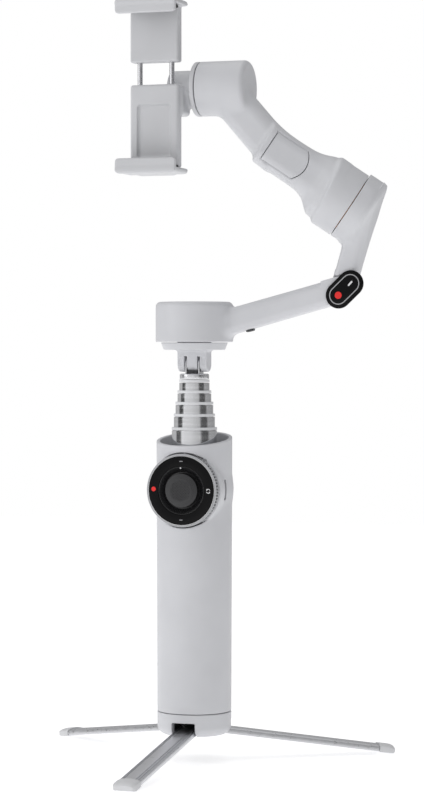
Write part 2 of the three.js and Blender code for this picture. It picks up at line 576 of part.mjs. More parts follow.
// ---- roll rotor with its arm and the tilt motor housing ----
{
  const cup = lathe([[rollBore, 0.15], [ROLL_R, 0.15], [ROLL_R, ROLL_ROTOR], [ROLL_R - 2.0, ROLL_ROTOR + 2.2],
    [0, ROLL_ROTOR + 2.6], [0, 9.2], [2.8, 9.2], [2.8, 6.6], [rollBore, 6.6]], 28);
  const armAt = (z, up, deep, r, lean) => {
    const points = roundRect(up, deep, r, 4).map((p) => [p[0] + lean, p[1]]);
    return { z, points };
  };
  const neck = loft([
    armAt(ROLL_ROTOR + 1.0, 30.4, 28.0, 13.4, 0.6),
    armAt(17.6, 27.0, 23.0, 10.0, 1.6),
    armAt(22.0, 22.6, 18.6, 7.0, ARM_LEAN),
    armAt(28.0, 19.8, 16.4, 6.0, ARM_LEAN),
    armAt(ARM_STRAIGHT, 19.8, 16.0, 6.0, ARM_LEAN),
  ]);
  const end = new THREE.Vector3(ARM_LEAN, 0, ARM_STRAIGHT - 6).applyMatrix4(ROLL);
  const to = new THREE.Vector3(...ROLL_ARM_END);
  const dir = to.clone().sub(end);
  const reach = dir.length();
  const bend = frameAlong(end.toArray(), dir.toArray(), [0, 1, 0]);
  const link = placed(loft([
    { z: -4, points: roundRect(15.0, 18.0, 6.0, 4) },
    { z: reach, points: roundRect(15.0, 18.0, 6.0, 4) },
  ]), bend);
  const tilt = frameAlong([0, TILT_Y, TILT_Z], [1, 0, 0], [0, 1, 0]);
  const motor = placed(lathe([[0, TILT_X0], [TILT_R, TILT_X0], [TILT_R, TILT_X1 - 2], [TILT_R - 2, TILT_X1],
    [0, TILT_X1]], 30), tilt);
  const hollow = placed(cyl(TILT_R - 1.5, TILT_R - 1.5, TILT_X0 - 30, TILT_X1 - 3, 28), tilt);
  const clearClamp = box(-60, TILT_X0, -60, 60, 270, 360);
  const all = cut(union([placed(cup, ROLL), placed(neck, ROLL), link, motor]), [hollow, clearClamp]);
  // cover panel let into the side that faces the user
  const coverLine = (grow) => {
    const pts = [];
    const r = 9.9 + grow;
    for (let i = 0; i <= 10; i += 1) {
      const a = -Math.PI / 2 + (Math.PI * i) / 10;
      pts.push([ARM_LEAN + r * Math.sin(a), COVER_END - r * Math.cos(a)]);
    }
    pts.push([ARM_LEAN + r, ARM_STRAIGHT - 3 + grow], [ARM_LEAN - r, ARM_STRAIGHT - 3 + grow]);
    return pts;
  };
  const toFace = new THREE.Matrix4().set(1, 0, 0, 0, 0, 0, -1, -6.8, 0, 1, 0, 0, 0, 0, 0, 1);
  const coverFrame = ROLL.clone().multiply(toFace);
  const pocket = placed(move(extrude(coverLine(GAP), 6), 0, 0, -GAP), coverFrame);
  // the cup stays open towards the stator
  const clear = placed(cyl(rollBore, rollBore, -2, 6.6, 30), ROLL);
  const bearing = placed(cyl(2.8, 2.8, 6.0, 9.2, 18), ROLL);
  add('roll_arm', cut(all, [clear, bearing, pocket]), 'grey');
  add('arm_cover', placed(extrude(coverLine(0), 1.2), coverFrame).intersect(placed(neck, ROLL)), 'grey');
  add('roll_magnets', lathe([[rollBore - 1.7, 0.6], [rollBore - GAP, 0.6], [rollBore - GAP, 6.2],
    [rollBore - 1.7, 6.2]], 28), 'magnet', ROLL);
  const tiltCore = TILT_R - 2.4;
  add('tilt_stator', lathe([[2.5, TILT_X0 + 3.4], [tiltCore, TILT_X0 + 3.4], [tiltCore, TILT_X1 - 3.4],
    [2.5, TILT_X1 - 3.4]], 30), 'copper', tilt);

  // ---- clamp: tilt rotor, spine, jaws ----
  const zc = TILT_Z;
  const backY = PHONE_Y + 6.0; // front of the spine, behind the phone
  const spineT = 6.2;
  const rodY = backY + spineT / 2;
  const half = PHONE_GAP / 2;
  const spineTop = zc + 1.5;
  const blockBottom = spineTop + JAW_CLOSE + 0.5;
  const holeTop = zc + half + 1.0;
  const rodTop = holeTop - JAW_CLOSE - 0.5;
  const hubR = TILT_R - 4.0;
  const lidR = TILT_R - 1.9;
  const rotor = placed(lathe([[0, CLAMP_X + 4], [hubR - 0.8, CLAMP_X + 4], [hubR, CLAMP_X + 4.8],
    [hubR, TILT_X0 - 3.2], [TILT_R, TILT_X0 - 2.4], [TILT_R, TILT_X0 - GAP], [lidR, TILT_X0 - GAP], [lidR, TILT_X0 + 2.9],
    [2.2, TILT_X0 + 2.9], [2.2, TILT_X1 - 5], [0, TILT_X1 - 5]], 30), tilt);
  const spine = box(CLAMP_X - 12, CLAMP_X + 12, backY, backY + spineT, zc - half - 1.0, spineTop);
  const bridge = box(CLAMP_X - 9, CLAMP_X + 13, backY + spineT - 1, TILT_Y, zc - 13, spineTop - 0.5);
  const rodHoles = [-1, 1].map((s) => move(cyl(1.5, 1.5, zc - 20, zc + 60, 14), CLAMP_X + s * 8, rodY, 0));
  add('clamp_body', cut(union([rotor, spine, bridge]), rodHoles), 'grey');
  for (const [s, n] of [[-1, 'left'], [1, 'right']]) {
    const rod = move(cyl(1.2, 1.2, zc - 19.5, rodTop, 14), CLAMP_X + s * 8, rodY, 0);
    add(`guide_rod_${n}`, rod, 'metal');
  }
  const y0 = PHONE_Y - 7.0;
  const y1 = backY + spineT;
  // section in the YZ plane, heights measured outwards from the phone's edge
  const section = [[y1, 1.4], [y1, 3.4], [y1 - 1.8, 4.6], [y0 + 2.6, 4.4], [y0 + 0.7, 3.0], [y0, 0.4], [y0 + 0.3, -2.0],
    [y0 + 1.1, -3.0], [y0 + 2.0, -3.0], [y0 + 2.0, 1.4]];
  const lie2 = (sign, z) => new THREE.Matrix4().set(0, 0, 1, CLAMP_X - CLAMP_W / 2, 1, 0, 0, 0, 0, sign, 0, z, 0, 0, 0, 1);
  for (const up of [1, -1]) {
    const name = up > 0 ? 'upper' : 'lower';
    const edge = zc + up * half;
    const line = up > 0 ? section : section.map((p) => [p[0], -p[1]]);
    const plate = placed(extrude(line, CLAMP_W), lie2(1, edge));
    const pieces = [plate];
    const holes = [];
    if (up > 0) {
      pieces.push(box(CLAMP_X - 12, CLAMP_X + 12, backY, y1, blockBottom, edge + 3.0));
      holes.push(...[-1, 1].map((s) => move(cyl(1.5, 1.5, zc, holeTop, 14), CLAMP_X + s * 8, rodY, 0)));
    }
    add(`jaw_${name}`, cut(union(pieces), holes), 'grey');
    const z = up > 0 ? [0.0, 1.1] : [-1.1, 0.0];
    add(`pad_${name}`, box(CLAMP_X - 13, CLAMP_X + 13, PHONE_Y - 4.6, PHONE_Y + 5.4, edge + z[0], edge + z[1]), 'rubber');
  }
}

export default group;
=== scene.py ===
import bpy
import json
import math
import numpy as np
from mathutils import Matrix, Vector


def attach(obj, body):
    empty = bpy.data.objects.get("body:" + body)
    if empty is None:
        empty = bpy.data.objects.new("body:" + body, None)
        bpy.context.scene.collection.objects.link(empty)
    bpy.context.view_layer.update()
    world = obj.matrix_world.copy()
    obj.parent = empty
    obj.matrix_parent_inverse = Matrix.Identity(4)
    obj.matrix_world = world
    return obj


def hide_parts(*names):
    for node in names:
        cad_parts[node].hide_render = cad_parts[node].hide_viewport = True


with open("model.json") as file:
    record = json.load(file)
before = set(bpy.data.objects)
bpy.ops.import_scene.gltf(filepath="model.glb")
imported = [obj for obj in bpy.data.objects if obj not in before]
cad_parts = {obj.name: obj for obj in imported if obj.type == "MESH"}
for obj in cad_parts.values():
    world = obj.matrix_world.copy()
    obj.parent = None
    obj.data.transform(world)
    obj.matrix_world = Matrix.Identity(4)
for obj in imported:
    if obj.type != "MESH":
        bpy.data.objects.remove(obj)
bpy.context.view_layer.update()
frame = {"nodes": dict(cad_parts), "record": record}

MM = 0.001
joints = {j["name"]: j for j in frame["record"]["behaviour"]["joints"]}


def joint_at(name):
    return np.array(joints[name]["pos_m"]) / MM


# ---------------------------------------------------------------- dimensions, in millimetres
GRIP_LEN = 141.6
RIM_RISE = 3.0 / 18.1
GRIP_BORE = 16.4
BOSS_R = 18.05
BOSS_FRONT = 14.3
SIDE_ANGLE = -19.6
PAN_RISE = 15.1
UPPER_RISE = 74.0
FOLD_RANGE = 164.0
ARM_W = 12.3
ROLL_R = 16.6
ROLL_BORE = 14.6
TILT_R = 13.0
POD_Z = 117.6
FOLD_AT = joint_at("arm_fold")
NECK = joint_at("neck_tilt")
ROLL_AT = joint_at("roll_turn")
ROLL_AXIS = np.array(joints["roll_turn"]["axis"])
TILT_AT = joint_at("tilt_turn")
NECK_DEEP = 3.8
PAN_BOTTOM = 187.9
PAN_TOP = 207.3
PAN_R = 18.6


# ---------------------------------------------------------------- frames
class Frame:
    """A local frame: +Z along the given direction, +X near the given side."""

    def __init__(self, origin, along, side):
        z = np.array(along, float)
        z /= np.linalg.norm(z)
        x = np.array(side, float)
        x -= x.dot(z) * z
        x /= np.linalg.norm(x)
        self.rot = np.stack([x, np.cross(z, x), z], axis=1)
        self.origin = np.array(origin, float)

    def local(self, p):
        return (p - self.origin) @ self.rot

    def world(self, p):
        return np.asarray(p, float) @ self.rot.T + self.origin


UP = Frame((0, 0, 0), (0, 0, 1), (1, 0, 0))
POD = Frame((0, 0, POD_Z), (0, -1, 0), (1, 0, 0))
ROLL = Frame(ROLL_AT, ROLL_AXIS, (0.947, 0.32, 0))
TILT = Frame((0, TILT_AT[1], TILT_AT[2]), (1, 0, 0), (0, 1, 0))


# ---------------------------------------------------------------- solids as distance fields
def rounded_box(p, low, high, edge=0.6):
    low = np.asarray(low, float)
    high = np.asarray(high, float)
    q = np.abs(p - (low + high) / 2) - ((high - low) / 2 - edge)
    return np.linalg.norm(np.maximum(q, 0), axis=1) + np.minimum(q.max(axis=1), 0) - edge


def section(x, y, wide, deep, corner):
    """Distance to a rectangle with rounded corners; the sizes may vary point by point."""
    qx = np.abs(x) - (wide / 2 - corner)
    qy = np.abs(y) - (deep / 2 - corner)
    return np.hypot(np.maximum(qx, 0), np.maximum(qy, 0)) + np.minimum(np.maximum(qx, qy), 0) - corner


def melt(a, b, k):
    """Join two solids with a fillet of about k."""
    h = np.clip(0.5 + 0.5 * (b - a) / k, 0, 1)
    return b * (1 - h) + a * h - k * h * (1 - h)


def carve(a, b, k=0.4):
    """Take b out of a, with an edge softened by about k."""
    return -melt(-a, b, k)


def trim(a, b, k=0.4):
    """Keep what is in both."""
    return -melt(-a, -b, k)


def loft(p, stations, edge=0.6):
    """A bar along z through stations (z, wide, deep, corner, shift x, shift y)."""
    s = np.array(stations, float)
    z = p[:, 2]
    wide, deep, corner, sx, sy = (np.interp(z, s[:, 0], s[:, i]) for i in range(1, 6))
    side = section(p[:, 0] - sx, p[:, 1] - sy, wide, deep, corner)
    ends = np.maximum(s[0, 0] - z, z - s[-1, 0])
    return trim(side, ends, edge)


def smooth_stations(stations, steps=14):
    """More stations on a smooth curve through the given ones."""
    s = np.array(stations, float)
    out = []
    for i in range(len(s) - 1):
        before = s[max(i - 1, 0)]
        after = s[min(i + 2, len(s) - 1)]
        for t in np.linspace(0, 1, steps, endpoint=False):
            a = -t ** 3 + 2 * t ** 2 - t
            b = 3 * t ** 3 - 5 * t ** 2 + 2
            c = -3 * t ** 3 + 4 * t ** 2 + t
            d = t ** 3 - t ** 2
            out.append((a * before + b * s[i] + c * s[i + 1] + d * after) / 2)
    out.append(s[-1])
    return out


def ticks(low, high, step):
    """Grid lines; the step is a number, or a list of (from, to, step) stretches."""
    stretches = step if isinstance(step, list) else [(low, high, step)]
    lines = [np.array([stretches[0][0]])]
    for start, stop, each in stretches:
        each = each * 1
        lines.append(np.linspace(start, stop, max(2, int(math.ceil((stop - start) / each)) + 1))[1:])
    return np.concatenate(lines)


def field_mesh(field, low, high, step):
    """Vertices, quads and normals on the zero surface of a distance field."""
    steps = step if isinstance(step, tuple) else (step, step, step)
    axes = [ticks(low[i], high[i], steps[i]) for i in range(3)]
    count = np.array([len(a) for a in axes])
    reach = min(float(np.diff(a).min()) for a in axes)
    values = np.empty(tuple(count), np.float32)
    for i, x in enumerate(axes[0]):
        yy, zz = np.meshgrid(axes[1], axes[2], indexing="ij")
        pts = np.stack([np.full(yy.size, x), yy.ravel(), zz.ravel()], axis=1)
        values[i] = field(pts).reshape(count[1], count[2])
    values[values == 0] = 1e-6
    cells = count - 1
    total = np.zeros(tuple(cells) + (3,), np.float32)
    hits = np.zeros(tuple(cells), np.int32)
    corner = np.stack(np.meshgrid(*[np.arange(c) for c in count], indexing="ij"), -1).astype(np.float32)
    quads = []
    crossings = []
    for axis in range(3):
        a = [slice(None)] * 3
        b = [slice(None)] * 3
        a[axis] = slice(0, -1)
        b[axis] = slice(1, None)
        va = values[tuple(a)]
        vb = values[tuple(b)]
        cross = (va < 0) != (vb < 0)
        t = np.where(cross, va / np.where(cross, va - vb, 1), 0)
        at = corner[tuple(a)].copy()
        at[..., axis] += t
        others = [i for i in range(3) if i != axis]
        for d0 in (0, 1):
            for d1 in (0, 1):
                src = [slice(None)] * 3
                dst = [slice(None)] * 3
                for o, d in zip(others, (d0, d1)):
                    n = cells[o]
                    src[o] = slice(1, None) if d == 0 else slice(0, -1)
                    dst[o] = slice(0, n)
                src[axis] = slice(0, cells[axis])
                c = cross[tuple(src)]
                total[tuple(dst)] += np.where(c[..., None], at[tuple(src)], 0)
                hits[tuple(dst)] += c
        crossings.append((cross, va < 0))
    active = hits > 0
    index = np.full(tuple(cells), -1, np.int64)
    index[active] = np.arange(active.sum())
    spot = total[active] / hits[active][:, None]
    verts = np.stack([np.interp(spot[:, i], np.arange(count[i]), axes[i]) for i in range(3)], axis=1)
    for axis, (cross, first_in) in enumerate(crossings):
        o = [i for i in range(3) if i != axis]
        where = np.argwhere(cross)
        ok = np.all((where[:, o] > 0) & (where[:, o] < cells[o]), axis=1)
        where = where[ok]
        sign = first_in[tuple(where.T)]
        ring = []
        for d0, d1 in ((-1, -1), (0, -1), (0, 0), (-1, 0)):
            w = where.copy()
            w[:, o[0]] += d0
            w[:, o[1]] += d1
            ring.append(index[tuple(w.T)])
        ring = np.stack(ring, axis=1)
        flip = sign if axis != 1 else ~sign
        ring[~flip] = ring[~flip][:, ::-1]
        quads.append(ring)
    faces = np.concatenate(quads)
    for _ in range(3):
        value = field(verts)
        slope = gradient(field, verts)
        size = np.maximum((slope ** 2).sum(axis=1), 0.2)
        move = -(value / size)[:, None] * slope
        far = np.linalg.norm(move, axis=1, keepdims=True)
        verts = verts + move * np.minimum(1, reach * 0.5 / np.maximum(far, 1e-9))
    return verts, faces, gradient(field, verts)


def gradient(field, p, eps=0.03):
    shift = np.eye(3) * eps
    return np.stack([(field(p + shift[i]) - field(p - shift[i])) / (2 * eps) for i in range(3)], axis=1)


# ---------------------------------------------------------------- meshes
def new_piece(name, verts, faces, look, sharp=None):
    mesh = bpy.data.meshes.new(name)
    mesh.from_pydata([tuple(v) for v in np.asarray(verts, float) * MM], [],
                     [tuple(int(i) for i in f) for f in faces])
    mesh.validate()
    mesh.shade_smooth()
    if sharp:
        mesh.set_sharp_from_angle(angle=math.radians(sharp))
    mesh.materials.append(look)
    piece = bpy.data.objects.new(name, mesh)
    bpy.context.scene.collection.objects.link(piece)
    return piece


def field_piece(name, field, low, high, step, look, place=UP):
    """A piece from a distance field given in the frame's own coordinates."""
    verts, faces, slope = field_mesh(field, low, high, step)
    piece = new_piece(name, place.world(verts), faces, look)
    normals = slope / np.maximum(np.linalg.norm(slope, axis=1, keepdims=True), 1e-9)
    normals = normals @ place.rot.T
    if len(piece.data.vertices) == len(normals):
        piece.data.normals_split_custom_set_from_vertices([tuple(n) for n in normals])
    return piece


def turned(name, profile, place, look, seg=128, sharp=28):
    """A piece turned about the frame's z axis; the profile is a closed loop of (radius, z)."""
    n = len(profile)
    verts = []
    faces = []
    area = sum(profile[i][0] * profile[(i + 1) % n][1] - profile[(i + 1) % n][0] * profile[i][1] for i in range(n))
    if area < 0:
        profile = profile[::-1]
    ids = []
    for r, z in profile:
        if r < 1e-6:
            ids.append([len(verts)] * seg)
            verts.append((0, 0, z))
        else:
            ids.append(list(range(len(verts), len(verts) + seg)))
            for k in range(seg):
                a = 2 * math.pi * k / seg
                verts.append((r * math.cos(a), r * math.sin(a), z))
    for i in range(n):
        j = (i + 1) % n
        if profile[i][0] < 1e-6 and profile[j][0] < 1e-6:
            continue
        for k in range(seg):
            m = (k + 1) % seg
            ring = [ids[i][k], ids[i][m], ids[j][m], ids[j][k]]
            face = list(dict.fromkeys(ring))
            faces.append(face)
    return new_piece(name, place.world(verts), faces, look, sharp)


def rounded_profile(points, edge=0.25, steps=3):
    """Round the corners of a closed (radius, z) loop; a point may carry its own edge as a third value."""
    n = len(points)
    out = []
    for i in range(n):
        p = np.array(points[i][:2], float)
        r = points[i][2] if len(points[i]) > 2 else edge
        if p[0] < 1e-6 or r <= 0:
            out.append((p[0], p[1]))
            continue
        a = np.array(points[i - 1][:2], float) - p
        b = np.array(points[(i + 1) % n][:2], float) - p
        la, lb = np.linalg.norm(a), np.linalg.norm(b)
        cut = min(r, la * 0.45, lb * 0.45)
        start, end = p + a / la * cut, p + b / lb * cut
        for t in np.linspace(0, 1, steps + 1):
            q = (1 - t) ** 2 * start + 2 * t * (1 - t) * p + t ** 2 * end
            out.append((q[0], q[1]))
    return out


def prism(name, outline, low, high, place, look, edge=0.3, steps=3, sharp=28):
    """An outline raised along the frame's z axis, with both rims rounded."""
    pts = np.array(outline, float)
    nxt = np.roll(pts, -1, axis=0) - pts
    if (pts[:, 0] * np.roll(pts, -1, axis=0)[:, 1] - np.roll(pts, -1, axis=0)[:, 0] * pts[:, 1]).sum() < 0:
        pts = pts[::-1]
        nxt = np.roll(pts, -1, axis=0) - pts
    nxt /= np.maximum(np.linalg.norm(nxt, axis=1, keepdims=True), 1e-9)
    prv = np.roll(nxt, 1, axis=0)
    inward = np.stack([-(nxt[:, 1] + prv[:, 1]), nxt[:, 0] + prv[:, 0]], axis=1)
    inward /= np.maximum((inward * np.stack([-nxt[:, 1], nxt[:, 0]], axis=1)).sum(axis=1, keepdims=True), 0.3)
    levels = [(low + edge * (1 - math.cos(t)), edge * (1 - math.sin(t))) for t in np.linspace(0, math.pi / 2,
                                                                                              steps + 1)]
    levels += [(high - edge * (1 - math.cos(t)), edge * (1 - math.sin(t))) for t in np.linspace(math.pi / 2, 0,
                                                                                                steps + 1)]
    verts = []
    for z, inset in levels:
        for p, d in zip(pts, inward):
            verts.append((p[0] + d[0] * inset, p[1] + d[1] * inset, z))
    n = len(pts)
    faces = [list(range(n))[::-1], [len(verts) - n + i for i in range(n)]]
    for k in range(len(levels) - 1):
        for i in range(n):
            j = (i + 1) % n
            faces.append([k * n + i, k * n + j, (k + 1) * n + j, (k + 1) * n + i])
    return new_piece(name, place.world(verts), faces, look, sharp)


def pill(length, wide, seg=24):
    """Outline of a slot with round ends, centred, along x."""
    r = wide / 2
    h = length / 2 - r
    out = []
    for k in range(seg + 1):
        a = -math.pi / 2 + math.pi * k / seg
        out.append((h + r * math.cos(a), r * math.sin(a)))
    for k in range(seg + 1):
        a = math.pi / 2 + math.pi * k / seg
        out.append((-h + r * math.cos(a), r * math.sin(a)))
    return out


def rounded_rect(wide, deep, corner, seg=8):
    out = []
    for sx, sy, start in ((1, 1, 0), (-1, 1, 90), (-1, -1, 180), (1, -1, 270)):
        for k in range(seg + 1):
            a = math.radians(start + 90 * k / seg)
            out.append((sx * (wide / 2 - corner) + corner * math.cos(a),
                        sy * (deep / 2 - corner) + corner * math.sin(a)))
    return out


def settle(piece, body, slot, *nodes):
    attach(piece, body)
    if nodes:
        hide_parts(*nodes)
    return piece


# ---------------------------------------------------------------- finishes
def shader(name, base, rough, metal=0.0):
    look = bpy.data.materials.new(name)
    look.use_nodes = True
    tree = look.node_tree
    bsdf = tree.nodes["Principled BSDF"]
    bsdf.inputs["Metallic"].default_value = metal
    where = tree.nodes.new("ShaderNodeTexCoord")
    return look, tree, bsdf, where.outputs["Object"]


def noise(tree, where, scale, detail=3.0, stretch=None, turn=0.0):
    node = tree.nodes.new("ShaderNodeTexNoise")
    node.inputs["Scale"].default_value = scale
    node.inputs["Detail"].default_value = detail
    if stretch:
        mapping = tree.nodes.new("ShaderNodeMapping")
        mapping.inputs["Scale"].default_value = stretch
        mapping.inputs["Rotation"].default_value = (0, 0, turn)
        tree.links.new(where, mapping.inputs["Vector"])
        where = mapping.outputs["Vector"]
    tree.links.new(where, node.inputs["Vector"])
    return node.outputs["Fac"]


def spread(tree, value, low, high):
    node = tree.nodes.new("ShaderNodeMapRange")
    node.inputs["From Min"].default_value = 0.3
    node.inputs["From Max"].default_value = 0.7
    node.inputs["To Min"].default_value = low
    node.inputs["To Max"].default_value = high
    tree.links.new(value, node.inputs["Value"])
    return node.outputs["Result"]


def tones(tree, value, dark, light):
    ramp = tree.nodes.new("ShaderNodeValToRGB")
    ramp.color_ramp.elements[0].position = 0.35
    ramp.color_ramp.elements[0].color = (*dark, 1)
    ramp.color_ramp.elements[1].position = 0.65
    ramp.color_ramp.elements[1].color = (*light, 1)
    tree.links.new(value, ramp.inputs["Fac"])
    return ramp.outputs["Color"]


def relief(tree, bsdf, value, height):
    bump = tree.nodes.new("ShaderNodeBump")
    bump.inputs["Strength"].default_value = 1.0
    bump.inputs["Distance"].default_value = height
    tree.links.new(value, bump.inputs["Height"])
    tree.links.new(bump.outputs["Normal"], bsdf.inputs["Normal"])


def shade_of(base, amount):
    return tuple(c * amount for c in base)


def moulded(name, base, rough, grain=2600, height=0.000006, vary=0.025):
    """Moulded or sprayed plastic with a fine grain."""
    look, tree, bsdf, where = shader(name, base, rough)
    soft = noise(tree, where, 45, 2.0)
    tree.links.new(tones(tree, soft, shade_of(base, 1 - vary), shade_of(base, 1 + vary)),
                   bsdf.inputs["Base Color"])
    fine = noise(tree, where, grain, 2.0)
    tree.links.new(spread(tree, fine, rough - 0.05, rough + 0.06), bsdf.inputs["Roughness"])
    relief(tree, bsdf, fine, height)
    return look


def brushed(name, base, rough, stretch, turn=0.0, height=0.000003, spreadness=0.08):
    """Metal with fine lines along one direction."""
    look, tree, bsdf, where = shader(name, base, rough, 1.0)
    lines = noise(tree, where, 900, 3.0, stretch, turn)
    tree.links.new(tones(tree, lines, shade_of(base, 0.93), base), bsdf.inputs["Base Color"])
    tree.links.new(spread(tree, lines, rough - spreadness / 2, rough + spreadness), bsdf.inputs["Roughness"])
    relief(tree, bsdf, lines, height)
    return look


GREY = (0.62, 0.625, 0.65)
satin_grey = moulded("satin_grey_grip", GREY, 0.42)
arm_grey = moulded("satin_grey_arm", GREY, 0.40)
clamp_grey = moulded("clamp_grey", (0.60, 0.605, 0.625), 0.38)
collar_white = moulded("collar_white", (0.74, 0.745, 0.765), 0.36, height=0.000002)
foot_grey = moulded("foot_grey", (0.66, 0.665, 0.68), 0.48)
wheel_grey = moulded("wheel_grey", (0.42, 0.425, 0.44), 0.36, height=0.000002)
gloss_black = moulded("gloss_black", (0.003, 0.003, 0.0034), 0.16, grain=900, height=0.0000004, vary=0.2)
gloss_black.node_tree.nodes["Principled BSDF"].inputs["Specular IOR Level"].default_value = 0.12
dish_black = moulded("dish_black", (0.012, 0.012, 0.013), 0.26, height=0.000001, vary=0.1)
stick_rubber = moulded("stick_rubber", (0.035, 0.035, 0.037), 0.62, grain=3500, height=0.000012, vary=0.12)
pad_rubber = moulded("pad_rubber", (0.016, 0.016, 0.017), 0.75, grain=1800, height=0.00002, vary=0.15)
dark_plastic = moulded("dark_plastic", (0.03, 0.031, 0.034), 0.5, vary=0.1)
red_gloss = moulded("red_gloss", (0.78, 0.012, 0.01), 0.3, height=0.000001, vary=0.04)
mark_white = moulded("mark_white", (0.75, 0.75, 0.76), 0.5, height=0.000001)
mark_grey = moulded("mark_grey", (0.24, 0.24, 0.25), 0.5, height=0.000001)
line_grey = moulded("badge_line_grey", (0.36, 0.36, 0.37), 0.35, height=0.000001)
polished_tube = brushed("polished_tube", (0.80, 0.805, 0.82), 0.10, (0.05, 0.05, 1.0), spreadness=0.04)
neck_metal = brushed("neck_metal", (0.74, 0.745, 0.76), 0.22, (1.0, 1.0, 0.08))
pin_metal = brushed("pin_metal", (0.6, 0.6, 0.62), 0.25, (1.0, 0.1, 1.0))
socket_metal = brushed("socket_metal", (0.62, 0.62, 0.64), 0.28, (0.1, 1.0, 1.0))
circuit_green = moulded("circuit_green", (0.02, 0.075, 0.035), 0.45)
cell_blue = moulded("cell_blue", (0.04, 0.14, 0.35), 0.4)
winding_copper = brushed("winding_copper", (0.72, 0.33, 0.16), 0.32, (0.1, 0.1, 1.0))
magnet_steel = brushed("magnet_steel", (0.4, 0.4, 0.42), 0.34, (1.0, 1.0, 0.1))


# ---------------------------------------------------------------- grip
def drum(p, radius, low, high, edge_low, edge_high):
    """A disc about z whose two rims are rounded differently."""
    edge = np.where(p[:, 2] > (low + high) / 2, edge_high, edge_low)
    q0 = np.hypot(p[:, 0], p[:, 1]) - (radius - edge)
    q1 = np.abs(p[:, 2] - (low + high) / 2) - ((high - low) / 2 - edge)
    return np.hypot(np.maximum(q0, 0), np.maximum(q1, 0)) + np.minimum(np.maximum(q0, q1), 0) - edge


def turned_about_z(p, degrees):
    a = math.radians(-degrees)
    c, s = math.cos(a), math.sin(a)
    return np.stack([c * p[:, 0] - s * p[:, 1], s * p[:, 0] + c * p[:, 1], p[:, 2]], axis=1)


def grip_outside(p):
    r = np.hypot(p[:, 0], p[:, 1])
    wall = 17.8 + (p[:, 2] - 11.3) / 133.6 * 0.4
    q = POD.local(p)
    boss = drum(q, BOSS_R, -6, BOSS_FRONT, 1.0, 1.0)
    return melt(r - wall, boss, 1.3)


def grip_field(p):
    x, y, z = p.T
    r = np.hypot(x, y)
    q = POD.local(p)
    body = grip_outside(p)
    body = carve(body, r - GRIP_BORE, 0.25)
    rim = (z - GRIP_LEN - y * RIM_RISE) / math.hypot(1, RIM_RISE)
    body = trim(body, rim, 0.5)
    body = trim(body, 11.3 - z, 0.45)
    front = np.hypot(q[:, 0], q[:, 1])
    body = carve(body, np.maximum(front - 16.6, 6 - q[:, 2]), 0.3)
    body = carve(body, np.maximum(front - 17.9, 14.2 - q[:, 2]), 0.3)
    body = carve(body, rounded_box(p, (-7.3, 11.0, POD_Z - 15.7), (7.3, 24.0, POD_Z + 11.7), 5.2), 0.4)
    side = turned_about_z(p, SIDE_ANGLE)
    body = carve(body, rounded_box(side, (12, -0.95, POD_Z - 4.8), (24, 0.95, POD_Z + 4.8), 0.9), 0.25)
    return carve(body, rounded_box(p, (-24, -4.9, 31.2), (-12, 4.9, 34.8), 1.75), 0.3)


def base_field(p):
    r = np.hypot(p[:, 0], p[:, 1])
    q0 = r - (17.8 - 4.6)
    q1 = np.maximum(4.6 - p[:, 2], 0)
    outside = np.where(q0 > 0, np.hypot(np.maximum(q0, 0), q1) - 4.6, -4.6 + q1)
    body = trim(outside, p[:, 2] - 11.0, 0.4)
    body = trim(body, -p[:, 2], 0.3)
    lip = np.maximum(r - 16.1, np.abs(p[:, 2] - 13.0) - 3.0)
    body = np.minimum(body, lip)
    body = carve(body, r - 13.8, 0.3)
    for angle in (-90, 30, 150):
        q = turned_about_z(p, angle)
        body = carve(body, rounded_box(q, (8, -5.7, -6), (26, 5.7, 6.9), 0.5), 0.5)
    return body


grip = field_piece("grip_tube", grip_field, (-19.3, -19.3, 10.5), (19.3, 19.3, 146.0),
                   (0.55, 0.55, [(10.5, 14, 0.45), (14, 29, 1.6), (29, 37, 0.45), (37, 95, 4.0), (95, 138, 0.6),
                                 (138, 146.2, 0.4)]),
                   satin_grey)
settle(grip, "grip", "grey_plastic", "grip_shell")
base = field_piece("base_ring", base_field, (-18.6, -18.6, -0.8), (18.6, 18.6, 16.8), 0.42, satin_grey)
settle(base, "grip", "grey_plastic", "base_cap")


# ---------------------------------------------------------------- legs
def leg_outline(half, thick, crown, grooved):
    """Cross-section of a leg: (across, up), crowned, with a pair of grooves near each edge."""
    low = -thick / 2
    top = thick / 2
    pts = [(-half, low + 0.3), (-half + 0.3, low), (half - 0.3, low), (half, low + 0.3), (half, top - 0.5),
           (half - 0.15, top - 0.15), (half - 0.5, top)]
    if grooved:
        for g in (half - 1.15, half - 2.3):
            rise = crown * (1 - (g / half) ** 2)
            pts += [(g + 0.34, top + rise), (g + 0.24, top + rise - 0.34), (g - 0.24, top + rise - 0.34),
                    (g - 0.34, top + rise)]
        start = half - 2.9
    else:
        start = half - 1.0
    for k in range(5):
        g = start * (1 - k / 5)
        pts.append((g, top + crown * (1 - (g / half) ** 2)))
    pts.append((0, top + crown))
    left = [(-a, b) for a, b in pts[4:-1]][::-1]
    return pts + left


def swept(name, rings, place, look, sharp=30):
    """A closed body through rings of points (across, up) at distances along x of the frame."""
    n = len(rings[0][1])
    verts = []
    for along, ring in rings:
        for a, b in ring:
            verts.append((along, a, b))
    faces = [list(range(n))[::-1], [(len(rings) - 1) * n + i for i in range(n)]]
    for k in range(len(rings) - 1):
        for i in range(n):
            j = (i + 1) % n
            faces.append([k * n + i, k * n + j, (k + 1) * n + j, (k + 1) * n + i])
    return new_piece(name, place(np.array(verts)), faces, look, sharp)


LEG_PIVOT = (5.0, 2.9)
LEG_SLOPE = math.radians(8.3)
LEG_REACH = (98.8 - 5.0) / math.cos(LEG_SLOPE)
FOOT_START = LEG_REACH - 8.0


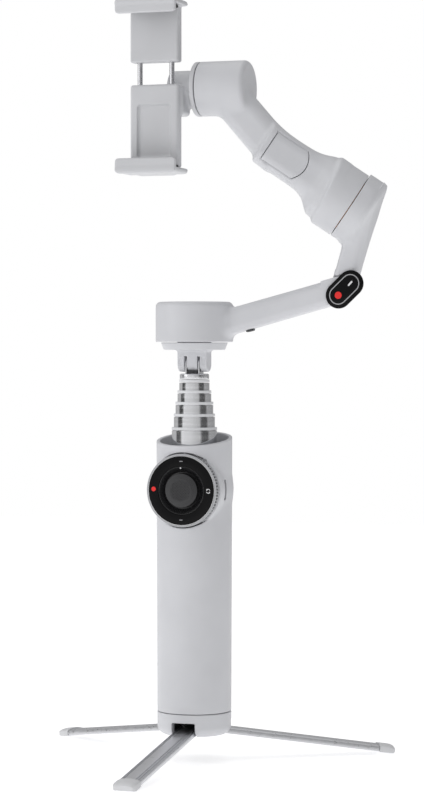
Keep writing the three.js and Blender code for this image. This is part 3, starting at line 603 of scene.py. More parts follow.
def leg_place(angle):
    a = math.radians(angle)
    spin = np.array([[math.cos(a), -math.sin(a), 0], [math.sin(a), math.cos(a), 0], [0, 0, 1]])
    c, s = math.cos(LEG_SLOPE), math.sin(LEG_SLOPE)
    tilt = np.array([[c, 0, s], [0, 1, 0], [-s, 0, c]])

    def place(p):
        return (p @ tilt.T + np.array([LEG_PIVOT[0], 0, LEG_PIVOT[1]])) @ spin.T
    return place


def join_meshes(parts, name):
    """One piece from several; the first keeps its place."""
    verts = []
    faces = []
    for part in parts:
        start = len(verts)
        verts += [tuple(v.co / MM) for v in part.data.vertices]
        faces += [[start + i for i in f.vertices] for f in part.data.polygons]
    look = parts[0].data.materials[0]
    for part in parts:
        bpy.data.objects.remove(part)
    return new_piece(name, verts, faces, look, 30)


for side, angle in (("front", -90), ("right", 30), ("left", 150)):
    leg_look = brushed("leg_aluminium_" + side, (0.66, 0.665, 0.685), 0.30, (0.03, 1.0, 1.0),
                       math.radians(-angle))
    place = leg_place(angle)
    plain = leg_outline(5.25, 2.5, 0.7, True)
    rings = [(-2.2, [(a, b * 0.55) for a, b in plain]), (-1.4, [(a, b * 0.85) for a, b in plain]), (0.0, plain),
             (3.0, plain),
             (FOOT_START - 0.3, plain)]
    leg = swept("leg_bar_" + side, rings, place, leg_look)
    settle(leg, f"leg_{side}_body", "leg_aluminium", "leg_" + side)
    full = leg_outline(5.65, 3.0, 1.0, False)

    def foot_ring(scale_a, scale_b):
        return [(a * scale_a, b * scale_b) for a, b in full]
    foot = swept("foot_cap_" + side, [
        (FOOT_START, foot_ring(0.97, 0.9)), (FOOT_START + 0.35, foot_ring(1, 1)),
        (FOOT_START + 5.2, foot_ring(1, 1)),
        (FOOT_START + 6.5, foot_ring(0.97, 0.95)), (FOOT_START + 7.4, foot_ring(0.9, 0.8)),
        (LEG_REACH - 0.1, foot_ring(0.78, 0.55))], place, foot_grey)
    settle(foot, f"leg_{side}_body", "foot_plastic", "leg_foot_" + side)


# ---------------------------------------------------------------- control pod
def paint_copies(tree, points, outs, look):
    """Make the instances real and give them their material."""
    real = tree.nodes.new("GeometryNodeRealizeInstances")
    paint = tree.nodes.new("GeometryNodeSetMaterial")
    paint.inputs["Material"].default_value = look
    tree.links.new(points.outputs["Instances"], real.inputs["Geometry"])
    tree.links.new(real.outputs["Geometry"], paint.inputs["Geometry"])
    tree.links.new(paint.outputs["Geometry"], outs.inputs["Geometry"])


def plain_mesh(host):
    """Vertices in millimetres and faces of what the host's modifier makes; the host is removed."""
    bpy.context.view_layer.update()
    graph = bpy.context.evaluated_depsgraph_get()
    made = bpy.data.meshes.new_from_object(host.evaluated_get(graph))
    host.modifiers.clear()
    bpy.data.objects.remove(host)
    verts = np.array([v.co for v in made.vertices]) / MM
    faces = [list(f.vertices) for f in made.polygons]
    bpy.data.meshes.remove(made)
    return verts, faces


def repeat_round(name, count, radius, bit, place, look):
    """Copies of a small mesh around a circle, by geometry nodes, made into one plain mesh."""
    host = bpy.data.objects.new(name + "_host", bpy.data.meshes.new(name + "_host"))
    bpy.context.scene.collection.objects.link(host)
    tree = bpy.data.node_groups.new(name + "_ring", "GeometryNodeTree")
    tree.interface.new_socket("Geometry", in_out="OUTPUT", socket_type="NodeSocketGeometry")
    number = tree.interface.new_socket("Count", in_out="INPUT", socket_type="NodeSocketInt")
    size = tree.interface.new_socket("Radius", in_out="INPUT", socket_type="NodeSocketFloat")
    ins = tree.nodes.new("NodeGroupInput")
    outs = tree.nodes.new("NodeGroupOutput")
    circle = tree.nodes.new("GeometryNodeMeshCircle")
    points = tree.nodes.new("GeometryNodeInstanceOnPoints")
    info = tree.nodes.new("GeometryNodeObjectInfo")
    info.inputs["Object"].default_value = bit
    where = tree.nodes.new("GeometryNodeInputPosition")
    aim = tree.nodes.new("FunctionNodeAlignRotationToVector")
    aim.axis = "X"
    aim.pivot_axis = "Z"
    link = tree.links.new
    link(ins.outputs["Count"], circle.inputs["Vertices"])
    link(ins.outputs["Radius"], circle.inputs["Radius"])
    link(circle.outputs["Mesh"], points.inputs["Points"])
    link(info.outputs["Geometry"], points.inputs["Instance"])
    link(where.outputs["Position"], aim.inputs["Vector"])
    link(aim.outputs["Rotation"], points.inputs["Rotation"])
    paint_copies(tree, points, outs, look)
    mod = host.modifiers.new("ring", "NODES")
    mod.node_group = tree
    mod[number.identifier] = count
    mod[size.identifier] = radius * MM
    verts, faces = plain_mesh(host)
    return new_piece(name, place.world(verts), faces, look, 30)


tooth_outline = [(-0.9, -0.36), (0.0, -0.36), (0.3, -0.2), (0.3, 0.2), (0.0, 0.36), (-0.9, 0.36)]
tooth = prism("tooth_bit", tooth_outline, 15.2, 18.75, UP, wheel_grey, 0.2, 2)
teeth = repeat_round("dial_teeth", 72, 17.15, tooth, POD, wheel_grey)
bpy.data.objects.remove(tooth)
settle(teeth, "wheel_body", "grey_plastic")
# Dark core behind the light teeth: its dark colour is painted shade for the gaps between the teeth.
wheel = turned("dial_core", [(16.5, 15.2), (16.72, 15.2), (16.72, 18.8), (16.5, 18.8)], POD, dark_plastic)
settle(wheel, "wheel_body", "grey_plastic", "wheel")
for name, low, high in (("rear", 14.6, 15.55), ("front", 18.5, 19.3)):
    rim = turned("dial_rim_" + name, rounded_profile([(16.55, low), (17.4, low), (17.4, high), (16.55, high)],
                                                     0.22, 3), POD,
                 wheel_grey)
    settle(rim, "wheel_body", "grey_plastic")
ring = turned("touch_ring", rounded_profile([(11.5, 17.4), (16.3, 17.4), (16.3, 19.9, 0.4), (11.5, 19.9, 0.3)],
                                            0.2, 5), POD,
              gloss_black, 160)
settle(ring, "ring", "black_gloss", "ring_button")
# Thin matte white ring at the black ring's outer edge: its white is a painted highlight for the bright polished edge.
ring_rim_painted_highlight = turned("touch_ring_edge",
                   rounded_profile([(16.34, 17.2), (16.54, 17.2), (16.54, 19.5), (16.34, 19.55)], 0.05, 1), POD,
                   mark_white)
settle(ring_rim_painted_highlight, "grip", "polished_metal")
dish = turned("stick_dish", rounded_profile([(4.3, 16.5), (11.35, 16.5), (11.35, 19.65, 0.2), (11.1, 19.65,
                                                                                               0.15), (9.0, 17.0, 0.4),
                                             (4.3, 16.9)], 0.2, 4), POD, dish_black, 128)
settle(dish, "grip", "black_gloss", "dish")
stick = turned("thumb_stick", rounded_profile([(0, 14.5), (1.4, 14.5), (2.3, 15.2), (2.3, 18.6), (7.0, 18.9),
                                               (7.9, 19.3),
                                               (7.9, 19.75), (7.3, 19.85), (7.2, 20.2), (6.6, 20.3),
                                               (6.5, 20.62), (5.9, 20.72), (5.8, 21.02),
                                               (5.3, 21.1), (0, 21.12)], 0.09, 2), POD, stick_rubber, 96)
settle(stick, "stick", "black_rubber", "joystick")


def knurl_grid(name, reach, pitch, size, height, z, place, look):
    """Small pyramids in a diagonal grid on a round face, by geometry nodes."""
    bit = bpy.data.objects.new(name + "_bit", bpy.data.meshes.new(name + "_bit"))
    s = size / 2 * MM
    t = s * 0.45
    h = height * MM
    bit.data.from_pydata([(s, 0, 0), (0, s, 0), (-s, 0, 0), (0, -s, 0), (t, 0, h), (0, t, h), (-t, 0, h),
                          (0, -t, h)], [],
                         [(3, 2, 1, 0), (4, 5, 6, 7), (0, 1, 5, 4), (1, 2, 6, 5), (2, 3, 7, 6), (3, 0, 4, 7)])
    bpy.context.scene.collection.objects.link(bit)
    spots = []
    n = int(reach / pitch) + 2
    for i in range(-n, n + 1):
        for j in range(-n, n + 1):
            x = (i + j) * pitch / math.sqrt(2)
            y = (i - j) * pitch / math.sqrt(2)
            if math.hypot(x, y) < reach:
                spots.append((x * MM, y * MM, 0))
    host = bpy.data.objects.new(name + "_host", bpy.data.meshes.new(name + "_host"))
    host.data.from_pydata(spots, [], [])
    bpy.context.scene.collection.objects.link(host)
    tree = bpy.data.node_groups.new(name + "_spread", "GeometryNodeTree")
    tree.interface.new_socket("Geometry", in_out="INPUT", socket_type="NodeSocketGeometry")
    tree.interface.new_socket("Geometry", in_out="OUTPUT", socket_type="NodeSocketGeometry")
    scale = tree.interface.new_socket("Bit scale", in_out="INPUT", socket_type="NodeSocketFloat")
    ins = tree.nodes.new("NodeGroupInput")
    outs = tree.nodes.new("NodeGroupOutput")
    points = tree.nodes.new("GeometryNodeInstanceOnPoints")
    info = tree.nodes.new("GeometryNodeObjectInfo")
    info.inputs["Object"].default_value = bit
    link = tree.links.new
    link(ins.outputs["Geometry"], points.inputs["Points"])
    link(info.outputs["Geometry"], points.inputs["Instance"])
    link(ins.outputs["Bit scale"], points.inputs["Scale"])
    paint_copies(tree, points, outs, look)
    mod = host.modifiers.new("spread", "NODES")
    mod.node_group = tree
    mod[scale.identifier] = 1.0
    verts, faces = plain_mesh(host)
    bpy.data.objects.remove(bit)
    return new_piece(name, place.world(verts + np.array([0, 0, z])), faces, look, 20)


knurl = knurl_grid("thumb_stick_knurl", 5.0, 0.95, 0.98, 0.42, 20.95, POD, stick_rubber)
settle(knurl, "stick", "black_rubber")


def mark(name, outline, at, z, place, look, body, slot, turn=0.0, height=0.06):
    """A small printed or inlaid mark, standing a little proud."""
    c, s = math.cos(turn), math.sin(turn)
    pts = [(at[0] + c * x - s * y, at[1] + s * x + c * y) for x, y in outline]
    piece = prism(name, pts, z - 0.25, z + height, place, look, 0.02, 1)
    return settle(piece, body, slot)


def disc(radius, seg=32):
    return [(radius * math.cos(2 * math.pi * k / seg),
             radius * math.sin(2 * math.pi * k / seg)) for k in range(seg)]


mark("record_dot", disc(1.1), (-13.75, 0.6), 19.9, POD, red_gloss, "ring", "red_plastic")
mark("status_light", disc(0.35), (-0.4, 10.7), 19.46, POD, mark_white, "grip", "grey_plastic")


def arc_arrow(start, sweep, radius, wide):
    """Outline of a bent arrow along part of a circle."""
    outer, inner = [], []
    for k in range(9):
        a = math.radians(start + sweep * 0.72 * k / 8)
        outer.append(((radius + wide / 2) * math.cos(a), (radius + wide / 2) * math.sin(a)))
        inner.append(((radius - wide / 2) * math.cos(a), (radius - wide / 2) * math.sin(a)))
    a = math.radians(start + sweep * 0.72)
    tip = math.radians(start + sweep)
    head = [((radius + wide * 1.3) * math.cos(a), (radius + wide * 1.3) * math.sin(a)),
            (radius * math.cos(tip), radius * math.sin(tip)),
            ((radius - wide * 1.3) * math.cos(a), (radius - wide * 1.3) * math.sin(a))]
    return outer + head + inner[::-1]


for k, start in enumerate((20, 200)):
    mark(f"turn_mark_{k}", arc_arrow(start, 150, 0.95, 0.3), (13.6, 0.0), 19.9, POD, mark_white, "ring",
         "black_gloss")
mark("ring_mark_top", pill(1.7, 0.45), (0, 13.9), 19.9, POD, mark_grey, "ring", "black_gloss")
mark("ring_mark_low", pill(1.7, 0.45), (0, -13.9), 19.9, POD, mark_grey, "ring", "black_gloss")


# rear trigger: domed pad in a rounded opening
def trigger_field(p):
    pad = rounded_box(p, (-7, 13.5, POD_Z - 15), (7, 24, POD_Z + 11), 4.9)
    crown = p[:, 1] - 19.2 + (p[:, 0] / 7) ** 2 * 0.9
    dent = np.sqrt((p[:, 0] / 2.2) ** 2 + (p[:, 1] - 24.4) ** 2 + ((p[:, 2] - POD_Z + 5) / 1.9) ** 2) - 5.7
    body = trim(pad, crown, 1.2)
    body = carve(body, dent, 1.0)
    return np.maximum(body, 15.6 - p[:, 1])


trigger = field_piece("trigger_pad", trigger_field, (-7.6, 15.0, POD_Z - 15.6), (7.6, 19.9, POD_Z + 11.6), 0.3,
                      satin_grey)
settle(trigger, "trigger_body", "grey_plastic", "trigger")
side_frame = Frame((0, 0, POD_Z), (math.cos(math.radians(SIDE_ANGLE)), math.sin(math.radians(SIDE_ANGLE)), 0),
                   (0, 0, 1))
# Dark pill sunk in the side slot: its dark colour is painted shade for the gap round the power button, not the
# button's own grey.
power = prism("side_button", pill(8.8, 1.2), 14.6, 17.95, side_frame, dark_plastic, 0.25)
settle(power, "power", "dark_plastic", "power_button")


# ---------------------------------------------------------------- telescopic rod
TUBE_R = (7.25, 8.1, 9.05, 9.85, 10.85)
TUBE_TOP = (170.0, 164.8, 159.3, 153.6, 147.1)
for letter, radius, top in zip("abcde", TUBE_R, TUBE_TOP):
    inner = radius - 0.5
    tube = turned("rod_tube_" + letter,
                  [(inner, top - 54), (radius, top - 54), (radius, top - 1.6), (inner, top - 1.6)], UP,
                  polished_tube, 160)
    settle(tube, "rod_" + letter, "polished_metal", "tube_" + letter)
    ring_shape = rounded_profile([(inner, top - 1.3), (radius + 0.04, top - 1.3, 0.2),
                                  (radius + 0.04, top, 0.35),
                                  (inner, top, 0.2)], 0.2, 4)
    collar = turned("rod_collar_" + letter, ring_shape, UP, collar_white, 160)
    settle(collar, "rod_" + letter, "collar_plastic", "collar_" + letter)


# ---------------------------------------------------------------- neck
def neck_field(p):
    """Three prongs joined above, with two slots for the blades."""
    x, y, z = p.T
    low = np.hypot(y, z - NECK[2]) - NECK_DEEP
    high = np.maximum(np.abs(y) - NECK_DEEP, NECK[2] - z)
    block = trim(np.minimum(low, high), np.abs(x) - 7.5, 0.8)
    block = trim(block, z - 186, 0.2)
    flange_r = np.interp(z, [184.4, 187.6], [14.8, 16.0])
    flange = trim(np.hypot(x, y) - flange_r, np.abs(z - 186.0) - 1.75, 0.35)
    body = melt(block, flange, 1.6)
    body = np.minimum(body, np.maximum(np.hypot(x, y) - 16.6, np.abs(z - 188.85) - 0.55))
    body = np.minimum(body, np.maximum(np.hypot(x, y) - 8.0, np.abs(z - 188) - 1.2))
    for s in (-1, 1):
        slot = np.maximum(np.abs(x - s * 3.25) - 0.7, z - (NECK[2] + 3.7))
        body = carve(body, slot, 0.25)
        dent = rounded_box(p, (min(s * 4.9, s * 6.7), -8, NECK[2] - 0.6),
                           (max(s * 4.9, s * 6.7), -3.5, NECK[2] + 3.0), 0.4)
        body = carve(body, dent, 0.3)
    return carve(body, np.maximum(np.hypot(y, z - NECK[2]) - 1.3, np.abs(x) - 6.8), 0.15)


neck = field_piece("neck_block", neck_field, (-17.2, -17.2, 173.0), (17.2, 17.2, 190.0), (0.36, 0.36, 0.34),
                   arm_grey)
settle(neck, "pan_base_body", "grey_plastic")
spindle = turned("pan_spindle", rounded_profile([(2.6, 189.6), (5.0, 189.6), (5.0, 202.8), (2.6, 202.8)], 0.2),
                 UP, pin_metal)
settle(spindle, "pan_base_body", "grey_plastic", "pan_base")
ferrule = turned("rod_ferrule", rounded_profile([(0, 170.3), (7.05, 170.3, 0.2), (7.05, 172.45, 0.3), (6.5,
                                                                                                       172.8, 0.2), (0, 172.8)],
                                                0.2, 3), UP, neck_metal)
side_on = Frame((0, 0, 0), (1, 0, 0), (0, 1, 0))
blade_parts = [ferrule]
BLADE_R = NECK_DEEP - 0.7
blade = [(BLADE_R * math.cos(math.radians(a)), NECK[2] + BLADE_R * math.sin(math.radians(a))) for a in range(0,
                                                                                                             181, 8)]
blade += [(-BLADE_R, 172.0), (BLADE_R, 172.0)]
for s in (-1, 1):
    blade_parts.append(prism(f"blade_bit_{s}", blade, 2.85 if s > 0 else -3.65, 3.65 if s > 0 else -2.85,
                             side_on, neck_metal, 0.15, 1))
# A dark block across the floor of the fork, between the blades.
fork_floor_outline = [(3.6, 172.6), (3.6, 174.3), (2.45, 174.34), (1.5, 173.79), (0, 173.5), (-1.5, 173.79),
          (-2.45, 174.34), (-3.6, 174.3),
          (-3.6, 172.6)]
settle(prism("neck_cradle", fork_floor_outline, -2.6, 2.6, side_on, dark_plastic, 0.12, 1), "rod_a", "dark_plastic")
fork = join_meshes(blade_parts, "neck_blades")
settle(fork, "rod_a", "polished_metal", "neck_fork")


# ---------------------------------------------------------------- pan housing and arm
LEAN = math.radians(PAN_RISE)
PAN_ARM = Frame(FOLD_AT, (-math.cos(LEAN), 0, -math.sin(LEAN)), (0, 1, 0))
ARM_LEN = math.hypot(FOLD_AT[0] - 8, FOLD_AT[2] - 195.0)
KNUCKLE_R = 5.9
SWEEP_R = KNUCKLE_R + 0.3


def fold_local(p, degrees):
    """Place seen from the fold pivot: x along the given direction, y across it, z towards the user."""
    a = math.radians(degrees)
    return Frame(FOLD_AT, (0, -1, 0), (math.cos(a), 0, math.sin(a))).local(p)


def knuckle(p, degrees, wide, inner, outer):
    """Round eye about the fold pivot with a short web towards its arm."""
    q = fold_local(p, degrees)
    eye = np.hypot(q[:, 0], q[:, 1]) - KNUCKLE_R
    web = np.maximum(np.abs(q[:, 1]) - wide, np.abs(q[:, 0] - 4.1) - 4.1)
    f = np.abs(q[:, 2])
    return trim(np.minimum(eye, web), np.maximum(inner - f, f - outer), 0.3), eye


def pan_field(p):
    body = drum(p, PAN_R, PAN_BOTTOM, PAN_TOP, 0.6, 2.4)
    q = PAN_ARM.local(p)
    bar = loft(q, [(3.4, 11.6, 12.0, 3.7, 0, 0.4), (20, 11.6, 12.0, 3.7, 0, 0.4),
                   (ARM_LEN - 12, 12.6, 12.3, 3.9, 0, 0.4), (ARM_LEN, 14.6, 12.6, 4.0, 0, 0.4)], 0.7)
    bar = carve(bar, np.hypot(p[:, 0] - FOLD_AT[0], p[:, 2] - FOLD_AT[2]) - SWEEP_R, 0.25)
    body = melt(body, bar, 3.2)
    body = np.minimum(body, knuckle(p, 180 + PAN_RISE, KNUCKLE_R, 2.3, 5.8)[0])
    body = trim(body, PAN_BOTTOM - p[:, 2], 0.5)
    body = carve(body, np.maximum(np.hypot(p[:, 0], p[:, 1]) - 17.1, p[:, 2] - 203.7), 0.3)
    pin = np.hypot(p[:, 0] - FOLD_AT[0], p[:, 2] - FOLD_AT[2]) - 2.0
    return carve(body, pin, 0.2)


pan = field_piece("pan_housing", pan_field, (-19.3, -19.3, 187.2), (80.4, 19.3, 220.0),
                  ([(-19.3, 24, 0.55), (24, 60, 0.9), (60, 80.4, 0.42)], 0.55, 0.5), arm_grey)
settle(pan, "pan_body", "arm_grey", "pan_arm")
shaft = turned("pan_shaft", [(0, 190), (2.2, 190), (2.2, 204.2), (0, 204.2)], UP, pin_metal, 48)
settle(shaft, "pan_body", "arm_grey")

bump_at = FOLD_AT + np.array([-49 * math.cos(LEAN) + 6.4 * math.sin(LEAN), 0,
                              -49 * math.sin(LEAN) - 6.4 * math.cos(LEAN)])
BUMP = Frame(bump_at, (math.sin(LEAN), 0, -math.cos(LEAN)), (math.cos(LEAN), 0, math.sin(LEAN)))
bump = prism("arm_stop", rounded_rect(3.8, 5.2, 1.5), 0.0, 1.0, BUMP, dark_plastic, 0.4, 3)
settle(bump, "pan_body", "dark_plastic", "arm_bump")


# ---------------------------------------------------------------- fold hinge
BADGE_LOW = FOLD_AT + np.array([-0.1, 0, -3.1])
BADGE_HIGH = FOLD_AT + np.array([5.7, 0, 2.4])
FOLD = Frame(BADGE_LOW, (0, -1, 0), BADGE_HIGH - BADGE_LOW)
FOLD_LEN = float(np.linalg.norm(BADGE_HIGH - BADGE_LOW))
HINGE = Frame(FOLD_AT, (0, -1, 0), (1, 0, 0))


def capsule(radius, seg=28):
    return [(x + FOLD_LEN / 2, y) for x, y in pill(FOLD_LEN + 2 * radius, 2 * radius, seg)]


badge = prism("fold_badge", capsule(6.25), 6.1, 7.2, FOLD, gloss_black, 0.4, 4, 50)
settle(badge, "pan_body", "black_gloss", "fold_badge")
badge_top = prism("fold_badge_face", capsule(5.35), 6.9, 7.5, FOLD, gloss_black, 0.22, 3, 50)
settle(badge_top, "pan_body", "black_gloss")
back_cap = prism("fold_back_cap", disc(4.6, 48), -6.8, -6.1, HINGE, dark_plastic, 0.3, 3, 50)
settle(back_cap, "pan_body", "dark_plastic", "fold_cap")


def loop_line(name, outline_out, outline_in, low, high, place, look):
    n = len(outline_out)
    verts = [(*p, low) for p in outline_out] + [(*p, high) for p in outline_out]
    verts += [(*p, low) for p in outline_in] + [(*p, high) for p in outline_in]
    faces = []
    for i in range(n):
        j = (i + 1) % n
        faces += [[i, j, n + j, n + i], [2 * n + j, 2 * n + i, 3 * n + i, 3 * n + j],
                  [n + i, n + j, 3 * n + j, 3 * n + i], [j, i, 2 * n + i, 2 * n + j]]
    return new_piece(name, place.world(verts), faces, look, 30)


badge_line = loop_line("fold_badge_line", capsule(4.4), capsule(3.95), 7.2, 7.54, FOLD, line_grey)
settle(badge_line, "pan_body", "black_gloss")
mark("fold_dot", disc(1.7), (0, 0), 7.5, FOLD, red_gloss, "pan_body", "red_plastic")
mark("fold_bar", pill(2.9, 0.8), (FOLD_LEN, 0), 7.5, FOLD, mark_white, "pan_body", "black_gloss",
     math.radians(3), 0.05)


# ---------------------------------------------------------------- upper arm and roll stator
UPPER = math.radians(UPPER_RISE)
UPPER_ARM = Frame(FOLD_AT, (math.cos(UPPER), 0, math.sin(UPPER)), (0, 1, 0))


def pan_fills(p, start):
    """What the pan arm fills, seen from the upper arm: open, then folded."""
    up = fold_local(p, PAN_RISE)
    down = fold_local(p, PAN_RISE + FOLD_RANGE - 180)
    top = ARM_W / 2 + 0.5
    return np.minimum(np.maximum(up[:, 0] + start, up[:, 1] - top),
                      np.maximum(start - down[:, 0], down[:, 1] - top))


def upper_field(r):
    p = ROLL.world(r)
    q = UPPER_ARM.local(p)
    bar = loft(q, smooth_stations([(0, 11.6, 11.6, 3.6, 0, 0), (14, 11.6, 11.6, 3.7, 0, 0),
                                   (24, 13.2, 11.6, 3.8, 0, 0),
                                   (31, 16.0, 11.6, 4.2, 0, 0), (39, 19.6, 11.6, 4.6, 0, 0),
                                   (58, 19.6, 11.6, 4.6, 0, 0)]), 0.7)
    bar = trim(bar, np.hypot(r[:, 0], r[:, 1]) - 16.7 - 3.0 * np.maximum(-7.0 - r[:, 2], 0), 1.5)
    motor = drum(r, ROLL_R, -9.2, 2.0, 2.8, 0.3)
    tongue, eye = knuckle(p, UPPER_RISE, 5.6, 0, 2.0)
    bar = carve(bar, np.minimum(eye - 0.3, pan_fills(p, 0)), 0.35)
    tongue = carve(tongue, np.maximum(pan_fills(p, 3.1), -eye), 0.2)
    body = np.minimum(melt(motor, bar, 4.0), tongue)
    body = trim(body, r[:, 2] + 0.15, 0.3)
    body = carve(body, np.maximum(np.hypot(r[:, 0], r[:, 1]) - ROLL_BORE, -6.4 - r[:, 2]), 0.3)
    pin = np.hypot(p[:, 0] - FOLD_AT[0], p[:, 2] - FOLD_AT[2]) - 2.0
    return carve(body, np.maximum(pin, np.abs(p[:, 1]) - 8), 0.2)


upper = field_piece("upper_arm_shell", upper_field, (-44.5, -17.6, -45), (17.6, 17.6, 0.3),
                    (0.46, 0.5, [(-45, -0.9, 0.46), (-0.9, 0.3, 0.15)]), arm_grey, ROLL)
settle(upper, "upper_body", "arm_grey")
roll_shaft = turned("roll_shaft", [(0, -6.6), (2.2, -6.6), (2.2, 8.6), (0, 8.6)], ROLL, pin_metal, 48)
settle(roll_shaft, "upper_body", "arm_grey", "upper_arm")


# ---------------------------------------------------------------- roll rotor, arm and tilt motor
ARM_LEAN = 2.1
ARM_END = np.array([22.0, -9.5, 303.0])
BEND_FROM = ROLL.world([[ARM_LEAN, 0, 44.0]])[0]
BEND = Frame(BEND_FROM, ARM_END - BEND_FROM, (0, 1, 0))
BEND_LEN = float(np.linalg.norm(ARM_END - BEND_FROM))


def roll_neck(q):
    return loft(q, smooth_stations([(11.0, 30.4, 29.0, 14.0, 0.4, 0), (15.0, 30.4, 26.5, 12.5, 0.6, 0),
                                    (18.2, 27.4, 22.4, 10.0, 1.5, 0), (21.1, 23.8, 19.4, 8.0, 2.1, 0),
                                    (25.5, 20.9, 17.2, 6.6, 2.2, 0), (32.0, 20.0, 16.2, 6.0, ARM_LEAN, 0),
                                    (50.0, 19.8, 16.0, 6.0, ARM_LEAN, 0)]), 1.2)


def cover_outline(q, grow):
    """Distance to the cover's outline in the plane of the arm, rounded towards the rotor."""
    r = 9.9 + grow
    dx = q[:, 0] - ARM_LEAN
    round_end = np.hypot(dx, q[:, 2] - 37.0) - r
    straight = np.abs(dx) - r
    line = np.where(q[:, 2] < 37.0, round_end, straight)
    return np.maximum(line, q[:, 2] - (47.0 + grow))


def roll_field(q):
    p = ROLL.world(q)
    crest = 13.4 + 2.2 * q[:, 0] / ROLL_R
    band = np.hypot(q[:, 0], q[:, 1]) - ROLL_R
    hub = trim(band, q[:, 2] - crest, 1.6)
    hub = trim(hub, 0.15 - q[:, 2], 0.3)
    arm = roll_neck(q)
    body = melt(hub, arm, 2.4)
    b = BEND.local(p)
    link = loft(b, [(-4, 15.0, 18.0, 6.0, 0, 0), (BEND_LEN, 15.0, 18.0, 6.0, 0, 0)], 1.0)
    body = melt(body, link, 3.0)
    t = TILT.local(p)
    motor = drum(t, TILT_R, 7.0, 31.0, 0.6, 2.4)
    body = melt(body, motor, 3.0)
    body = trim(body, 7.0 - p[:, 0], 0.4)
    body = trim(body, 0.15 - q[:, 2], 0.25)
    body = carve(body, np.maximum(np.hypot(t[:, 0], t[:, 1]) - 11.5, t[:, 2] - 28.0), 0.3)
    body = carve(body, np.maximum(np.hypot(q[:, 0], q[:, 1]) - ROLL_BORE, q[:, 2] - 6.6), 0.3)
    pocket = np.maximum(cover_outline(q, 0.3), q[:, 1] + 6.5)
    return carve(body, pocket, 0.15)


roll = field_piece("roll_arm_shell", roll_field, (-19, -18.5, -0.3), (35, 26.5, 101),
                   (0.5, 0.5, [(-0.3, 0.9, 0.15), (0.9, 101, 0.5)]), arm_grey, ROLL)
settle(roll, "roll_body", "arm_grey", "roll_arm")


def cover_field(q):
    panel = trim(roll_neck(q), cover_outline(q, 0.0), 0.3)
    return np.maximum(panel, q[:, 1] + 6.8)


cover = field_piece("arm_cover_panel", cover_field, (-9, -9.0, 26), (13.5, -6, 48), (0.3, 0.2, 0.3), arm_grey,
                    ROLL)
settle(cover, "roll_body", "arm_grey", "arm_cover")


# ---------------------------------------------------------------- clamp
CLAMP_X = -11.8
ZC = float(TILT_AT[2])
BACK_Y = -25.0
SPINE_TOP = ZC + 1.5


def clamp_field(p):
    t = TILT.local(p)
    r = np.hypot(t[:, 0], t[:, 1])
    hub = drum(t, 9.0, CLAMP_X + 4, 4.4, 0.8, 0.3)
    face = drum(t, 13.0, 4.6, 6.7, 0.4, 0.3)
    step = np.maximum(r - 11.1, np.abs(t[:, 2] - 8.2) - 1.7)
    spine = rounded_box(p, (CLAMP_X - 12, BACK_Y, ZC - 38.0), (CLAMP_X + 12, BACK_Y + 6.2, SPINE_TOP), 1.2)
    bridge = rounded_box(p, (CLAMP_X - 9, BACK_Y + 4.0, ZC - 13),
                         (CLAMP_X + 13, TILT_AT[1] + 1.0, SPINE_TOP - 0.5), 2.0)
    body = melt(spine, bridge, 1.5)
    body = melt(body, hub, 1.5)
    body = melt(body, face, 0.8)
    body = np.minimum(body, step)
    body = carve(body, rounded_box(p, (CLAMP_X - 8.5, BACK_Y - 2, ZC - 33),
                                   (CLAMP_X + 8.5, BACK_Y + 1.2, ZC - 8), 1.5), 0.4)
    for s in (-1, 1):
        hole = np.maximum(np.hypot(p[:, 0] - CLAMP_X - s * 8, p[:, 1] - BACK_Y - 3.1) - 1.5, ZC - 20 - p[:, 2])
        body = carve(body, hole, 0.2)
    return body


clamp = field_piece("clamp_spine", clamp_field, (-24.6, -26, 269.6), (11, 5, 322.6), 0.46, clamp_grey)
settle(clamp, "clamp", "clamp_grey")
tilt_shaft = turned("tilt_shaft", [(0, 8.0), (2.2, 8.0), (2.2, 26.0), (0, 26.0)], TILT, pin_metal, 48)
settle(tilt_shaft, "clamp", "clamp_grey", "clamp_body")

PHONE_Y = -31.0
JAW_Y0 = PHONE_Y - 7.0
JAW_Y1 = BACK_Y + 6.2


def jaw_field(sign):
    edge = ZC + sign * 37.0

    def field(p):
        x = np.abs(p[:, 0] - CLAMP_X)
        y = p[:, 1]
        w = (p[:, 2] - edge) * sign
        q = np.stack([x, y, w], axis=1)
        plate = rounded_box(q, (-20, JAW_Y0, 1.4), (15.25, JAW_Y1, 4.0), 1.1)
        middle = rounded_box(q, (-20, JAW_Y0 + 1.6, 1.6), (9.0, JAW_Y1, 4.6), 1.2)
        lip = rounded_box(q, (-20, JAW_Y0, -3.0), (15.25, JAW_Y0 + 2.1, 4.0), 0.9)
        body = melt(melt(plate, middle, 1.2), lip, 1.4)
        corner = section(x, w - 0.5, 30.5, 8.2, 3.0)
        body = trim(body, corner, 0.6)
        if sign > 0:
            block = rounded_box(p, (CLAMP_X - 12, BACK_Y, ZC + 12.0), (CLAMP_X + 12, JAW_Y1, edge + 3.0), 1.0)
            body = melt(body, block, 0.8)
            for s in (-1, 1):
                hole = np.maximum(np.hypot(p[:, 0] - CLAMP_X - s * 8, y - BACK_Y - 3.1) - 1.5,
                                  p[:, 2] - edge - 1.0)
                body = carve(body, hole, 0.2)
        return body
    return field


